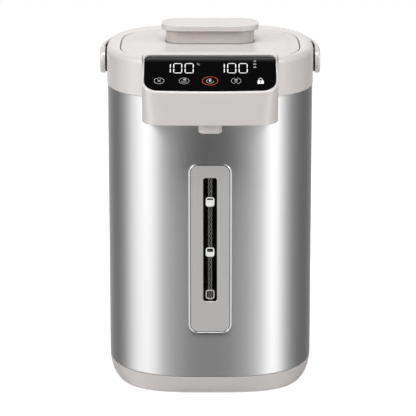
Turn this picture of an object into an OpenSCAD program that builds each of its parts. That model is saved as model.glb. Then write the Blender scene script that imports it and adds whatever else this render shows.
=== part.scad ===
// Electric thermo pot: a lidded, heated water pot with a pumped spout.
// Origin on the standing plane at the body's axis, +Z up, the spout towards -Y. Millimetres.

/* [Body] */
// Width of the steel sleeve, side to side
body_w = 207; // [200:1:222]
// Depth of the steel sleeve, front to back
body_d = 236; // [230:1:250]
// Squareness of the plan: 2 is an ellipse, more is squarer
body_square = 2.7; // [2.5:0.1:3.2]
// Thickness of the steel sleeve
sleeve_t = 0.8; // [0.6:0.1:1.2]
// Height of the steel sleeve between base and collar
sleeve_h = 283; // [275:1:310]
// General thickness of the moulded walls
wall = 2.4; // [2:0.1:2.8]
// Clearance between pieces that fit into each other
fit = 0.3; // [0.2:0.05:0.4]

/* [Base] */
// Height of the seam between base and sleeve
seam_z = 18; // [16:1:24]
// Gap under the base that the foot ring leaves
foot_reveal = 1; // [0.6:0.1:2]
// How far the base draws in at its sides, down to the floor
base_side_in = 10; // [4:0.5:10]
// How far the base draws in at front and rear
base_front_in = 4; // [2:0.5:8]
// Squareness of the base's plan at the floor
base_foot_square = 3.5; // [2.7:0.1:3.6]
// Distance from the body's side to the foot ring's centre line
foot_in = 30.5; // [28:0.5:44]
// Height of the lips that centre the sleeve on base and collar
spigot_h = 12; // [8:1:14]

/* [Collar] */
// Height of the collar above the sleeve
collar_h = 37; // [36:1:44]
// How far the collar stands proud of the sleeve
collar_proud = 0.8; // [0.6:0.1:1.2]
// Height of the collar's rounded upper edge
collar_edge = 6; // [4:0.5:7]
// How far that rounding reaches in over the deck
collar_roll = 9; // [6:0.5:10]
// Depth of the well that the lid sits in
well_depth = 15.6; // [15:0.2:18]

/* [Lid] */
// Width of the collar's deck beside the lid
side_deck = 14.1; // [12:0.1:17]
// Depth of the collar's deck behind the lid
rear_deck = 44; // [40:0.5:48]
// Squareness of the lid's plan
lid_square = 3.5; // [3:0.1:4]
// Place of the lid's centre, front to back
lid_y = -15; // [-17:1:-14]
// Gap round the lid
seam_gap = 0.8; // [0.7:0.1:1]
// Crown of the lid above the collar
lid_crown = 0.8; // [0.4:0.1:1]
// Radius of the hinge barrel
barrel_r = 3.8; // [3.4:0.1:4]
// Width of the hinge barrel
barrel_w = 30; // [24:1:40]
// Radius of the hinge pin
pin_r = 1.45; // [1.2:0.05:1.6]

/* [Grip] */
// Width of the grip's cap
cap_w = 97.8; // [90:0.2:102]
// Depth of the grip's cap
cap_d = 57.4; // [54:0.2:60]
// Thickness of the cap
cap_t = 5.4; // [4:0.2:7]
// How far the cap overhangs the neck
cap_lip = 4.3; // [3.5:0.1:5]
// Height of the neck that shows above the collar
neck_h = 14.2; // [10:0.2:18]
// Place of the grip's centre, front to back
grip_y = -4.2; // [-6:0.2:4]
// Travel of the grip when it is pulled up
grip_lift = 3.5; // [3:0.1:3.6]

/* [Console] */
// Width of the console
head_w = 132; // [126:1:136]
// How far the console stands out in front of the body
head_reach = 24.2; // [23.8:0.2:32]
// How far the console reaches back over the body, up to the lid
head_back = 28; // [27:0.2:29]
// How far the console hangs below the collar
head_drop = 23.5; // [21:0.5:39]
// Radius of the console's upright corners at its top
head_corner = 15.5; // [13:0.5:20]
// Radius of the console's upright corners at its underside
head_foot_corner = 24; // [16:0.5:30]
// Radius of the console's almost flat front
head_bow = 1500; // [700:50:3000]
// Slope of the display, in degrees
panel_tilt = 29.6; // [27:0.1:31]
// Height of the console's upper lip above the collar
head_lip = 0.9; // [0.6:0.1:1.2]
// Width of the rim round the display
display_rim = 2; // [1.8:0.1:6]
// Thickness of the display
display_t = 1.8; // [1.5:0.1:2]

/* [Spout] */
// Width of the nozzle
nozzle_w = 22.8; // [18:0.2:24]
// Depth of the nozzle
nozzle_d = 15.2; // [12:0.2:15.4]
// Distance from the console's front to the nozzle's axis
nozzle_in = 11.7; // [11.2:0.1:12.2]
// How far the nozzle hangs below the console
nozzle_drop = 8.8; // [7:0.2:14]
// Radius of the nozzle's mouth
mouth_r = 4.5; // [3.6:0.1:5]

/* [Window] */
// Width of the level window's frame
window_w = 42.2; // [38:0.2:46]
// Height of the level window's frame
window_h = 172; // [150:1:180]
// Height of the frame's lower edge
window_z = 63.3; // [60:0.1:70]
// Corner radius of the frame
window_corner = 9.5; // [7:0.5:12]
// Width of the frame's bright rim
rim_w = 2.1; // [1.6:0.1:3]
// Width of the slot
slot_w = 13.8; // [12.6:0.2:16]
// Distance from the frame's upper edge to the slot
slot_above = 14.3; // [10:0.1:30]
// Distance from the frame's lower edge to the slot
slot_below = 32.7; // [20:0.1:40]
// Radius of the sight tube
tube_r = 3.3; // [3:0.1:3.6]
// Distance from the sleeve's front to the sight tube's axis
riser_in = 9.5; // [9:0.1:10]

/* [Handle] */
// Thickness of the bail handle
handle_t = 5.2; // [4:0.2:7]
// Height of the bail's arms
handle_h = 16; // [12:1:20]
// Gap between the bail and the collar
handle_gap = 2; // [1.4:0.1:2.4]
// Radius of the lugs at the pivots
lug_r = 13; // [10:0.5:15]
// Radius of the pivots
pivot_r = 4; // [3:0.1:5]
// How far the pivots lie below the collar's top
pivot_drop = 20; // [18:1:22]

/* [Pot] */
// Least room between the inner pot and the body's sides
pot_side_room = 10.5; // [10:0.5:16]
// Least room between the inner pot and the body's front, for the sight tube
pot_front_room = 19; // [18.5:0.5:26]
// How far the inner pot's centre lies behind the lid's centre
pot_back = 10; // [9:0.5:11]
// Height of the inner pot's floor above the pump
floor_gap = 12; // [11:0.5:16]
// Distance from the lid's rear end to the inner pot's mouth, for pot and lid with one centre
mouth_room = 19; // [18:0.5:23]
// Thickness of the inner pot's steel
pot_t = 0.8; // [0.6:0.1:1]
// Distance from the inner pot's side to the heater plate
heater_in = 42; // [41:0.5:48]

/* [Pump] */
// Distance from the inner pot's side to the pump's axis
pump_in = 25; // [24:0.5:26]
// Outer radius of the pump housing
pump_r = 19; // [18:0.5:20]
// Radius of the impeller
impeller_r = 13; // [11:0.5:14]
// Radius of the motor
motor_r = 14; // [12:0.5:16]

/* [Inlet] */
// Width of the power inlet
inlet_w = 34; // [32:0.5:38]
// Height of the power inlet
inlet_h = 28; // [26:0.5:32]
// Height of the power inlet's centre
inlet_z = 52; // [50:1:60]

/* [Hidden] */
$fn = 64;

// Steps round a plan outline, and round a small moulded edge
plan_steps = 72;
edge_steps = 5;
over = 1;

// Levels
collar_z = seam_z + sleeve_h;
top_z = collar_z + collar_h;
shelf_top = top_z - well_depth;
shelf_z = shelf_top - wall;
skin_z = top_z - wall + 0.2;
pivot_z = top_z - pivot_drop;
head_top = top_z + head_lip;
hinge_z = top_z;
motor_room = 25;
bell_t = 1;
chamber_h = 7;
cover_disc_t = 2;
pump_z = foot_reveal + motor_room;
pump_top = pump_z + bell_t + chamber_h + cover_disc_t;
pot_floor = pump_top + floor_gap;

// Plan sizes
body_a = body_w / 2;
body_b = body_d / 2;
spigot_in = sleeve_t + fit;
collar_wall_in = wall - collar_proud + 0.2;
base_flange = 14;
foot_r = body_a - foot_in;
head_front_y = -body_b - head_reach;
head_rear_y = -body_b + head_back;
head_bottom = collar_z - head_drop;
nozzle_y = head_front_y + nozzle_in;
riser_y = -body_b + riser_in;
lid_a = body_a - side_deck;
lid_b = body_b - rear_deck - lid_y;
pot_y = lid_y + pot_back;
neck_r = lid_b - mouth_room;
pot_r = min(body_a - pot_side_room, body_b + pot_y - pot_front_room);
heater_r = pot_r - heater_in;
pump_y = pot_y - pot_r + pump_in;
slot_z = window_z + slot_below;
slot_h = window_h - slot_above - slot_below;
lid_front_y = head_rear_y + 0.3 + seam_gap;
hinge_y = lid_y + lid_b + seam_gap + barrel_r + 0.2;
head_a = head_w / 2;
bay_gap = 0.3;
running = 0.05;

// Colours
plastic_grey = [0.81, 0.79, 0.77];
plastic_light = [0.88, 0.86, 0.84];
steel = [0.66, 0.66, 0.67];
dark = [0.06, 0.06, 0.07];
rubber_grey = [0.45, 0.45, 0.46];
silicone = [0.87, 0.86, 0.82];
board_green = [0.1, 0.32, 0.2];

// ---------- outlines ----------
function on_side(v, power) = sign(v) * pow(abs(v), power);
function plan_radius(t, a, b, n) = pow(pow(abs(cos(t)) / a, n) + pow(abs(sin(t)) / b, n), -1 / n);
function plan_point(t, a, b, n) = plan_radius(t, a, b, n) * [cos(t), sin(t)];
function plan_normal(p, a, b, n) =
    let (slope = [on_side(p.x / a, n - 1) / a, on_side(p.y / b, n - 1) / b]) slope / norm(slope);
function inset_point(t, a, b, n, inset) =
    let (p = plan_point(t, a, b, n)) p - inset * plan_normal(p, a, b, n);
function squircle(a, b, n, inset = 0, steps = plan_steps) =
    [for (k = [0 : steps - 1]) inset_point(360 * k / steps, a, b, n, inset)];

// The body's plan, moved inwards by inset
function body_outline(inset) = squircle(body_a, body_b, body_square, inset);
// The lid's plan, cut straight where the console stands
function lid_outline(inset) =
    [for (p = squircle(lid_a, lid_b, lid_square, inset)) [p.x, max(p.y + lid_y, lid_front_y + inset)]];
// The grip's plan
function grip_outline(a, b) = [for (p = squircle(a, b, 4, 0, 48)) p + [0, grip_y]];
function arc(centre, r, from, to, steps) =
    [for (i = [0 : steps]) let (t = from + (to - from) * i / steps) centre + r * [cos(t), sin(t)]];
// A rectangle with its own radius for the lower and the upper corners, its upper edge on y = 0
function panel_outline(w, l, r_low, r_up) = concat(
    arc([w / 2 - r_up, -r_up], r_up, 0, 90, edge_steps),
    arc([-w / 2 + r_up, -r_up], r_up, 90, 180, edge_steps),
    arc([-w / 2 + r_low, -l + r_low], r_low, 180, 270, 2 * edge_steps),
    arc([w / 2 - r_low, -l + r_low], r_low, 270, 360, 2 * edge_steps));
// The console's plan: an almost flat front between rounded corners of radius r
bow_y = head_front_y + head_bow;
bow_steps = 4;
function head_front(inset, r) =
    let (side = head_a - r, half = asin(side / (head_bow - r)),
        y = bow_y - sqrt(pow(head_bow - r, 2) - pow(side, 2)))
    concat(arc([-side, y], r - inset, 180, 270 - half, 2 * edge_steps),
        arc([0, bow_y], head_bow - inset, 270 - 0.9 * half, 270 + 0.9 * half, bow_steps),
        arc([side, y], r - inset, 270 + half, 360, 2 * edge_steps));
function head_outline(inset, r) = concat(
    [[-head_a + inset, 0]], head_front(inset, r), [[head_a - inset, 0]]);

// ---------- solids from outlines ----------
module prism(outline, z0, z1) {
    translate([0, 0, z0]) linear_extrude(z1 - z0) polygon(outline);
}
module band(outer, inner, z0, z1) {
    difference() {
        prism(outer, z0, z1);
        prism(inner, z0 - over, z1 + over);
    }
}
// Extrudes a profile drawn in Y and Z along X
module along_x(profile, width) {
    rotate([90, 0, 90]) linear_extrude(width, center = true) polygon(profile);
}
function lift(outline, z) = [for (p = outline) [p.x, p.y, z]];
// Skins a pile of rings, each with the same number of points, counted anticlockwise
module loft(rings) {
    n = len(rings[0]);
    m = len(rings);
    sides = [for (i = [0 : m - 2], k = [0 : n - 1])
        [i * n + k, (i + 1) * n + k, (i + 1) * n + (k + 1) % n, i * n + (k + 1) % n]];
    polyhedron(points = [for (r = rings) each r],
        faces = concat([[for (k = [0 : n - 1]) k]], sides, [[for (k = [n - 1 : -1 : 0]) (m - 1) * n + k]]));
}
// Skins a closed loop of rings into a hoop
module hoop(rings) {
    n = len(rings[0]);
    m = len(rings);
    polyhedron(points = [for (r = rings) each r],
        faces = [for (i = [0 : m - 1], k = [0 : n - 1])
            let (j = (i + 1) % m, l = (k + 1) % n) [i * n + k, j * n + k, j * n + l, i * n + l]]);
}
module tube(r_out, r_in, z0, z1) {
    translate([0, 0, z0]) difference() {
        cylinder(r = r_out, h = z1 - z0);
        translate([0, 0, -over]) cylinder(r = r_in, h = z1 - z0 + 2 * over);
    }
}
module disc(r, z0, z1) {
    translate([0, 0, z0]) cylinder(r = r, h = z1 - z0);
}
module block(x, y0, y1, z0, z1) {
    translate([-x, y0, z0]) cube([2 * x, y1 - y0, z1 - z0]);
}
module both_sides() {
    for (side = [0, 1]) mirror([side, 0, 0]) children();
}
module at_pot() {
    translate([0, pot_y, 0]) children();
}
module at_pump() {
    translate([0, pump_y, 0]) children();
}

// ---------- tie rods, which clamp base, sleeve and collar together ----------
tie_inset = 13;
rod_r = 1.8;
boss_r = 5;
rod_z0 = 12;
rod_top = shelf_z - 4;
tie = inset_point(48, body_a, body_b, body_square, tie_inset);
module at_ties() {
    for (x = [-tie.x, tie.x], y = [-tie.y, tie.y]) translate([x, y, 0]) children();
}

// ---------- base ----------
flange_t = 2.4;
plate_t = 1.6;
plate_top = foot_reveal + flange_t + plate_t;
// The base's plan, drawn in by a share of its full taper and then moved inwards by inset
function base_outline(share, inset) = squircle(body_a - base_side_in * share, body_b - base_front_in * share,
    body_square + (base_foot_square - body_square) * share, inset);
base_h = seam_z - foot_reveal;
taper_steps = 9;
flange_share = 0.5;
base_rings = concat(
    [lift(body_outline(base_flange), foot_reveal)],
    [for (i = [0 : taper_steps]) let (t = 90 * i / taper_steps)
        lift(base_outline(1 - sin(t), 0), foot_reveal + base_h * (1 - cos(t)))],
    [for (p = [[spigot_in, seam_z], [spigot_in, seam_z + spigot_h], [spigot_in + wall, seam_z + spigot_h],
        [spigot_in + wall, seam_z - wall]]) lift(body_outline(p[0]), p[1])],
    [lift(base_outline(flange_share, 1.6 * wall), foot_reveal + flange_t),
        lift(body_outline(base_flange), foot_reveal + flange_t)]);
screw_head_r = 3.6;
screw_head_h = 2;

module base_housing() color(plastic_grey) difference() {
    union() {
        hoop(base_rings);
        at_ties() disc(boss_r, foot_reveal + 0.4, rod_z0 + 12);
    }
    at_ties() disc(rod_r + running, foot_reveal - over, rod_z0 + 12 + over);
    at_ties() disc(screw_head_r + fit, foot_reveal - over, foot_reveal + screw_head_h + fit);
}

ring_h = 2;
ring_half = 5;
module bottom_plate() color(plastic_grey) difference() {
    union() {
        prism(body_outline(base_flange + fit), foot_reveal, plate_top);
        prism(body_outline(base_flange - 3), foot_reveal + flange_t, plate_top);
        board_posts();
    }
    tube(foot_r + ring_half + fit, foot_r - ring_half - fit, foot_reveal - over, ring_h);
    at_ties() disc(boss_r + 1, 0, plate_top + over);
    for (y = [-24 : 12 : 24]) block(22, y - 1.5, y + 1.5, foot_reveal - over, plate_top + over);
}

module foot_ring() color(rubber_grey) tube(foot_r + ring_half, foot_r - ring_half, 0, ring_h);

module base_screws() color(steel) at_ties() difference() {
    union() {
        disc(screw_head_r, foot_reveal + fit, foot_reveal + fit + screw_head_h);
        disc(rod_r, foot_reveal + fit, rod_z0 - fit);
    }
    for (a = [0, 90]) rotate([0, 0, a]) block(2.4, -0.4, 0.4, foot_reveal, foot_reveal + 1.2);
}

module tie_rods() color(steel) at_ties() disc(rod_r, rod_z0, rod_top);

// ---------- sleeve ----------
module inlet_hole(extra) {
    block(inlet_w / 2 + extra, body_b - 30, body_b + 10, inlet_z - inlet_h / 2 - extra,
        inlet_z + inlet_h / 2 + extra);
}
module outer_shell() color(steel) difference() {
    band(body_outline(0), body_outline(sleeve_t), seam_z, collar_z);
    upright(window_outline(-fit), -body_b - 5, -body_b + 20);
    inlet_hole(fit);
}

// ---------- collar ----------
well_wall = 2.4;
collar_profile = concat(
    [[-collar_proud, collar_z]],
    [for (i = [0 : edge_steps]) let (t = 90 * i / edge_steps)
        [collar_roll * (1 - cos(t)) - collar_proud, top_z - collar_edge * (1 - sin(t))]]);
barrel_gap = 0.4;
ear_w = 7;
hinge_x = barrel_w / 2 + barrel_gap;
boss_proud = handle_gap - 0.3;
side_x = body_a + collar_proud;

module hinge_axis(r, half) {
    translate([0, hinge_y, hinge_z]) rotate([0, 90, 0]) cylinder(r = r, h = 2 * half, center = true);
}
module pivot_axis(r, x0, x1) {
    both_sides() translate([x0, 0, pivot_z]) rotate([0, 90, 0]) cylinder(r = r, h = x1 - x0);
}

module collar() color(plastic_grey) difference() {
    union() {
        difference() {
            loft([for (p = collar_profile) lift(body_outline(p[0]), p[1])]);
            difference() {
                union() {
                    prism(body_outline(collar_wall_in), collar_z - over, top_z - collar_edge);
                    prism(body_outline(collar_wall_in + wall), collar_z - over, skin_z);
                }
                prism(lid_outline(-seam_gap - well_wall), shelf_z, top_z);
            }
        }
        band(body_outline(spigot_in), body_outline(spigot_in + wall), collar_z - spigot_h, collar_z + 6);
        hinge_axis(barrel_r, hinge_x + ear_w);
        block(hinge_x + ear_w, hinge_y - barrel_r, hinge_y + barrel_r + 3, hinge_z - barrel_r - 3, skin_z + 1);
        at_ties() disc(boss_r, collar_z, shelf_z + 1);
        for (x = [-tie.x, tie.x]) translate([x, tie.y, 0]) disc(boss_r, collar_z, skin_z + 1);
        pivot_axis(lug_r - 4, side_x - wall - 4, side_x + boss_proud);
    }
    prism(lid_outline(-seam_gap), shelf_top, top_z + over);
    at_pot() disc(neck_r + fit, shelf_z - over, shelf_top + over);
    block(head_a + bay_gap, -body_b - 20, head_rear_y + bay_gap, collar_z, top_z + over);
    block(hinge_x, lid_y + lid_b - 2, hinge_y + barrel_r + barrel_gap, hinge_z - barrel_r - 0.6,
        hinge_z + barrel_r + over);
    hinge_axis(pin_r + running, hinge_x + ear_w - 2);
    pivot_axis(pivot_r + running, side_x - wall - 5, side_x + 10);
    at_ties() disc(rod_r + running, collar_z - over, rod_top + fit);
}

// ---------- console ----------
panel_y0 = head_rear_y - 1;
drop_per_y = tan(panel_tilt);
panel_skin = 3.6;
function slope_z(y) = head_top - (panel_y0 - y) * drop_per_y;
module on_panel() {
    translate([0, panel_y0, head_top]) rotate([panel_tilt, 0, 0]) children();
}
// The body's front as the console meets it
module sleeve_core(gap, z_top) {
    prism(body_outline(-gap), seam_z, z_top);
}
head_profile = [[head_rear_y, head_bottom], [head_rear_y, head_top], [panel_y0, head_top],
    [head_front_y - 2, slope_z(head_front_y - 2)], [head_front_y - 2, head_bottom]];
skin_drop = panel_skin / cos(panel_tilt);
hollow_y = head_rear_y - wall;
head_hollow = [[hollow_y, head_bottom - over], [hollow_y, slope_z(hollow_y) - skin_drop],
    [head_front_y - 2, slope_z(head_front_y - 2) - skin_drop], [head_front_y - 2, head_bottom - over]];
sleeve_gap = 0.3;
floor_t = 2;
valve_r = 5.6;
keeper_d = 2;
latch_w = 24;
latch_t = 2.3;
lid_floor = shelf_top + wall + 0.2;
lid_floor_t = 2.4;
latch_z = lid_floor + lid_floor_t + fit;

module head_housing() color(plastic_grey) difference() {
    intersection() {
        loft([lift(head_outline(0, head_foot_corner), head_bottom),
            lift(head_outline(0, head_corner), head_top)]);
        along_x(head_profile, head_w + 10);
    }
    difference() {
        intersection() {
            prism(head_outline(wall, head_foot_corner), head_bottom - over, head_top);
            along_x(head_hollow, head_w + 10);
        }
        sleeve_core(sleeve_gap + wall, collar_z + floor_t);
    }
    sleeve_core(sleeve_gap, collar_z);
    translate([0, riser_y, 0]) disc(valve_r + fit, collar_z - over, collar_z + floor_t + over);
    at_pot() disc(pot_r + fit, collar_z - over, shoulder_z + fit);
    on_panel() display_pocket();
    block(latch_w / 2 + 0.6, head_rear_y - keeper_d, head_rear_y + over, latch_z - fit, latch_z + latch_t + fit);
}

display_sink = 0.3;
display_top = -1.3;
ledge = 2.6;
display_corner = 5.5;
// The display's edge runs a rim's width inside the console's plan, drawn on the slope
function display_outline(inset) =
    let (x = head_a - display_rim - display_corner, y = display_top - display_corner,
        r = display_corner - inset) concat(arc([x, y], r, 0, 90, edge_steps), arc([-x, y], r, 90, 180, edge_steps),
        [for (p = head_front(display_rim + inset, head_corner)) [p.x, (p.y - panel_y0) / cos(panel_tilt)]]);
module display_pocket() {
    prism(display_outline(-0.2), -display_sink - display_t, 3);
    prism(display_outline(ledge), -3 * panel_skin, 3);
}
module display_window() color(dark)
    on_panel() prism(display_outline(0), -display_sink - display_t, -display_sink);

mask_top = -display_sink - display_t;
mask_t = 3;
board_t = 1.2;
key_x = 24.2;
key_row = -39.5;
key_well_r = 5;
contact_r = 3;
readout_row = -21.3;
readout_left = -31;
readout_right = 21.5;
digit_w = 8.4;
digit_h = 14.8;
digit_pitch = 10.9;
digit_bar = 1.6;
plug_x = 38;
plug_size = [12, 12, 2];
module at_keys() {
    for (i = [-2 : 2]) translate([i * key_x, key_row, 0]) children();
}
// Seven bars of one figure, cut through the mask as light wells
module digit_wells() {
    for (y = [-1, 0, 1]) translate([0, y * (digit_h - digit_bar) / 2, 0])
        cube([digit_w - 2 * digit_bar, digit_bar, 4 * mask_t], center = true);
    for (x = [-1, 1], y = [-1, 1])
        translate([x * (digit_w - digit_bar) / 2, y * (digit_h - digit_bar) / 4, 0])
            cube([digit_bar, (digit_h - 4 * digit_bar) / 2, 4 * mask_t], center = true);
}
module light_mask() color([0.12, 0.12, 0.13]) on_panel() difference() {
    prism(display_outline(ledge + 0.3), mask_top - mask_t, mask_top);
    translate([0, 0, mask_top]) at_keys() cylinder(r = key_well_r, h = 4 * mask_t, center = true);
    for (x = [readout_left, readout_right], i = [-1 : 1])
        translate([x + i * digit_pitch, readout_row, mask_top]) digit_wells();
}
module display_board() color(board_green) on_panel() {
    translate([0, 0, mask_top - mask_t - board_t])
        linear_extrude(board_t) polygon(display_outline(ledge + 2));
    for (x = [-plug_x, plug_x]) translate([x, readout_row, mask_top - mask_t - board_t - plug_size.z / 2])
        cube(plug_size, center = true);
}
module touch_contacts() color(silicone)
    on_panel() translate([0, 0, mask_top - mask_t]) at_keys() cylinder(r = contact_r, h = mask_t);

// ---------- console underside and spout ----------
cover_z = head_bottom + 0.5;
cover_t = 2;
cover_top = cover_z + cover_t;
nozzle_z = head_bottom - nozzle_drop;
nozzle_flange = 1;
stub_r = 3;
stub_h = 9;
module nozzle_plan(extra, z0, z1) {
    r = nozzle_d / 2 + extra;
    x = nozzle_w / 2 - nozzle_d / 2;
    prism(concat(arc([x, nozzle_y], r, -90, 90, 12), arc([-x, nozzle_y], r, 90, 270, 12)), z0, z1);
}
module head_cover() color(plastic_grey) difference() {
    prism(head_outline(wall + 0.2, head_foot_corner), cover_z, cover_top);
    sleeve_core(sleeve_gap + wall + 0.2, collar_z);
    nozzle_plan(0.2, head_bottom - over, cover_top + over);
}
module spout_nozzle() color(plastic_grey) difference() {
    union() {
        nozzle_plan(-0.8, nozzle_z, nozzle_z + 1.2);
        nozzle_plan(0, nozzle_z + 1.2, cover_top);
        nozzle_plan(nozzle_flange, cover_top, cover_top + 1.6);
        translate([0, nozzle_y, 0]) disc(stub_r, cover_top, cover_top + stub_h);
    }
    translate([0, nozzle_y, 0]) {
        disc(2, nozzle_z, cover_top + stub_h + over);
        disc(mouth_r, nozzle_z - over, cover_top - 1);
    }
}

// ---------- water path ----------
bend_r = 7;
pipe_r = 3.8;
pipe_in = 3.2;
pipe_z = collar_z + floor_t + fit + pipe_r + 0.3;
valve_z0 = collar_z - 10;
valve_top = pipe_z + 6;
socket_h = 5;
seat_z = valve_z0 + socket_h + 1;
ball_r = 2.6;
ball_lift = 4;
chamber_r = 3.5;
seat_r = 1.8;

module outlet_pipe() color(silicone) difference() {
    outlet_run(pipe_r, 0);
    outlet_run(pipe_in, over);
}
module outlet_run(r, extra) {
    translate([0, nozzle_y, 0]) disc(r, cover_top + 1.6 + fit - extra, pipe_z - bend_r);
    translate([0, nozzle_y + bend_r, pipe_z - bend_r]) rotate([90, 0, 90]) rotate([0, 0, 90])
        rotate_extrude(angle = 90) translate([bend_r, 0]) circle(r = r);
    translate([0, nozzle_y + bend_r, pipe_z]) rotate([-90, 0, 0])
        cylinder(r = r, h = riser_y - valve_r - 0.3 - nozzle_y - bend_r + extra);
}

module stop_valve() color(plastic_light) translate([0, riser_y, 0]) difference() {
    union() {
        disc(valve_r, valve_z0, valve_top);
        translate([0, 0, pipe_z]) rotate([90, 0, 0]) cylinder(r = stub_r, h = valve_r + 5);
    }
    disc(tube_r + 0.2, valve_z0 - over, valve_z0 + socket_h);
    disc(seat_r, valve_z0, valve_top - 2);
    disc(chamber_r, seat_z, valve_top - 2);
    translate([0, 0, pipe_z]) rotate([90, 0, 0]) cylinder(r = seat_r, h = valve_r + 5 + over);
}
ball_rest = seat_z + sqrt(pow(ball_r, 2) - pow(seat_r, 2)) + 0.3;
module stop_valve_ball() color(steel) translate([0, riser_y, ball_rest]) sphere(r = ball_r);

hose_r = 5;
hose_in = 3.5;
hose_bend = 9;
outlet_z = pump_z + 4;
tube_z0 = 60;
hose_gap = 0.2;
module sight_tube() color([0.75, 0.8, 0.82]) translate([0, riser_y, 0])
    tube(tube_r, tube_r - 1, tube_z0, valve_z0 + socket_h - 0.3);
module lower_run(r, extra) {
    turn_y = riser_y + hose_bend;
    translate([0, turn_y, outlet_z]) rotate([-90, 0, 0])
        cylinder(r = r, h = pump_y - pump_r - 0.4 - turn_y + extra);
    translate([0, turn_y, outlet_z + hose_bend]) rotate([90, 0, 90]) rotate([0, 0, 180])
        rotate_extrude(angle = 90) translate([hose_bend, 0]) circle(r = r);
    translate([0, riser_y, 0]) disc(r, outlet_z + hose_bend, tube_z0 + 8 + extra);
}
module lower_hose() color(silicone) difference() {
    lower_run(hose_r, 0);
    lower_run(hose_in, over);
}

// ---------- level window ----------
channel_y = -body_b + sleeve_t + 1.2;
channel_side = 3;
channel_back = 2;
channel_end = 6;
trough_half = 5.5;
trough_y = channel_y + 13.7;
frame_y = -body_b - 1.2;
module upright(outline, y0, y1) {
    translate([0, y1, 0]) rotate([90, 0, 0]) linear_extrude(y1 - y0) polygon(outline);
}
function window_outline(inset) = [for (p = panel_outline(window_w - 2 * inset, window_h - 2 * inset,
    window_corner - inset, window_corner - inset)) p + [0, window_z + window_h - inset]];
function slot_outline(inset) = [for (p = panel_outline(slot_w - 2 * inset, slot_h - 2 * inset,
    2.4 - inset, 2.4 - inset)) p + [0, slot_z + slot_h - inset]];
module level_channel() color(dark) difference() {
    union() {
        block(window_w / 2 + channel_side, channel_y, channel_y + channel_back, window_z - channel_side,
            window_z + window_h + channel_side);
        block(trough_half + wall, channel_y, trough_y + wall, slot_z - channel_end,
            slot_z + slot_h + channel_end);
    }
    block(trough_half, channel_y - over, trough_y, slot_z - channel_end - over,
        slot_z + slot_h + channel_end + over);
}
module level_frame() color([0.83, 0.83, 0.84]) difference() {
    upright(window_outline(0), frame_y, channel_y);
    upright(window_outline(rim_w), frame_y - over, channel_y + over);
}
plate_y = -body_b - 0.4;
lens_y = -body_b - 0.2;
module level_plate() color([0.7, 0.7, 0.71]) difference() {
    upright(window_outline(rim_w), plate_y, channel_y);
    upright(slot_outline(0), plate_y - over, channel_y + over);
}
module level_lens() color([0.13, 0.14, 0.15]) upright(slot_outline(0.1), lens_y, channel_y);

// ---------- inner pot ----------
pot_round = 12;
shoulder_z = shelf_z - 16;
cup_top = shoulder_z - pot_round;
flange_r = neck_r + 6;
gasket_t = 0.8;
flange_z = shelf_top + gasket_t;
drain_r = 5;
drain_in = 3.5;
drain_y = pump_y;
// Half section of the cup's skin, offset inwards by t, from the axis to the seam with the neck
function cup_skin(t) = concat(
    [[0, pot_floor + t]],
    arc([pot_r - pot_round, pot_floor + pot_round], pot_round - t, 270, 360, edge_steps),
    [[pot_r - t, cup_top]]);
// Half section of the neck's skin, from that seam to the rim
function neck_skin(t) = concat(
    arc([pot_r - pot_round, cup_top], pot_round - t, 0, 60, edge_steps),
    [[neck_r - t, shelf_z - 4], [neck_r - t, flange_z + pot_t]]);
function backwards(points) = [for (i = [len(points) - 1 : -1 : 0]) points[i]];
module inner_pot() color(steel) difference() {
    union() {
        at_pot() rotate_extrude() polygon(concat(cup_skin(0), backwards(cup_skin(pot_t))));
        translate([0, drain_y, 0]) disc(drain_r, pot_floor - 8, pot_floor + pot_t / 2);
    }
    translate([0, drain_y, 0]) disc(drain_in, pot_floor - 8 - over, pot_floor + 2);
}
// Shoulder and mouth, seam-welded on the cup
module pot_neck() color(steel) at_pot() {
    rotate_extrude() polygon(concat(neck_skin(0), backwards(neck_skin(pot_t))));
    tube(flange_r, neck_r - pot_t, flange_z, flange_z + pot_t);
}
module pot_gasket() color(silicone) at_pot() tube(flange_r - 0.5, neck_r + 0.5, shelf_top, flange_z);

// ---------- heater ----------
disc_t = 3;
element_r = 0.73 * heater_r;
element_half = 3;
cutout_x = 0.404 * heater_r;
cutout_r = 0.154 * heater_r;
shield_in = 4;
shield_vent_r = 0.54 * heater_r;
module heater_plate() color([0.75, 0.75, 0.77]) at_pot() difference() {
    union() {
        disc(heater_r, pot_floor - disc_t, pot_floor);
        translate([0, 0, pot_floor - disc_t - 2.2]) rotate_extrude()
            translate([element_r, 0]) circle(r = element_half);
    }
    disc(6, pot_floor - disc_t - over, pot_floor + over);
}
module temperature_sensor() color([0.8, 0.78, 0.7]) at_pot() {
    disc(5, pot_floor - 6, pot_floor);
    disc(2, pot_floor - 10, pot_floor - 6);
}
module thermal_cutouts() color([0.2, 0.2, 0.2]) at_pot()
    for (x = [-cutout_x, cutout_x]) translate([x, 0, 0]) {
        disc(cutout_r, pot_floor - disc_t - 5, pot_floor - disc_t);
        translate([0, 0, pot_floor - disc_t - 7]) block(4, -3, 3, 0, 2.5);
    }
shield_t = 0.8;
shield_z = pot_floor - 12.5;
module heat_shield() color([0.7, 0.7, 0.71]) at_pot() difference() {
    disc(heater_r - shield_in, shield_z, pot_floor - disc_t);
    disc(heater_r - shield_in - shield_t, shield_z + shield_t, pot_floor);
    for (a = [0 : 45 : 315]) rotate([0, 0, a]) translate([shield_vent_r, 0, 0])
        disc(4, shield_z - over, shield_z + 2);
}

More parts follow.
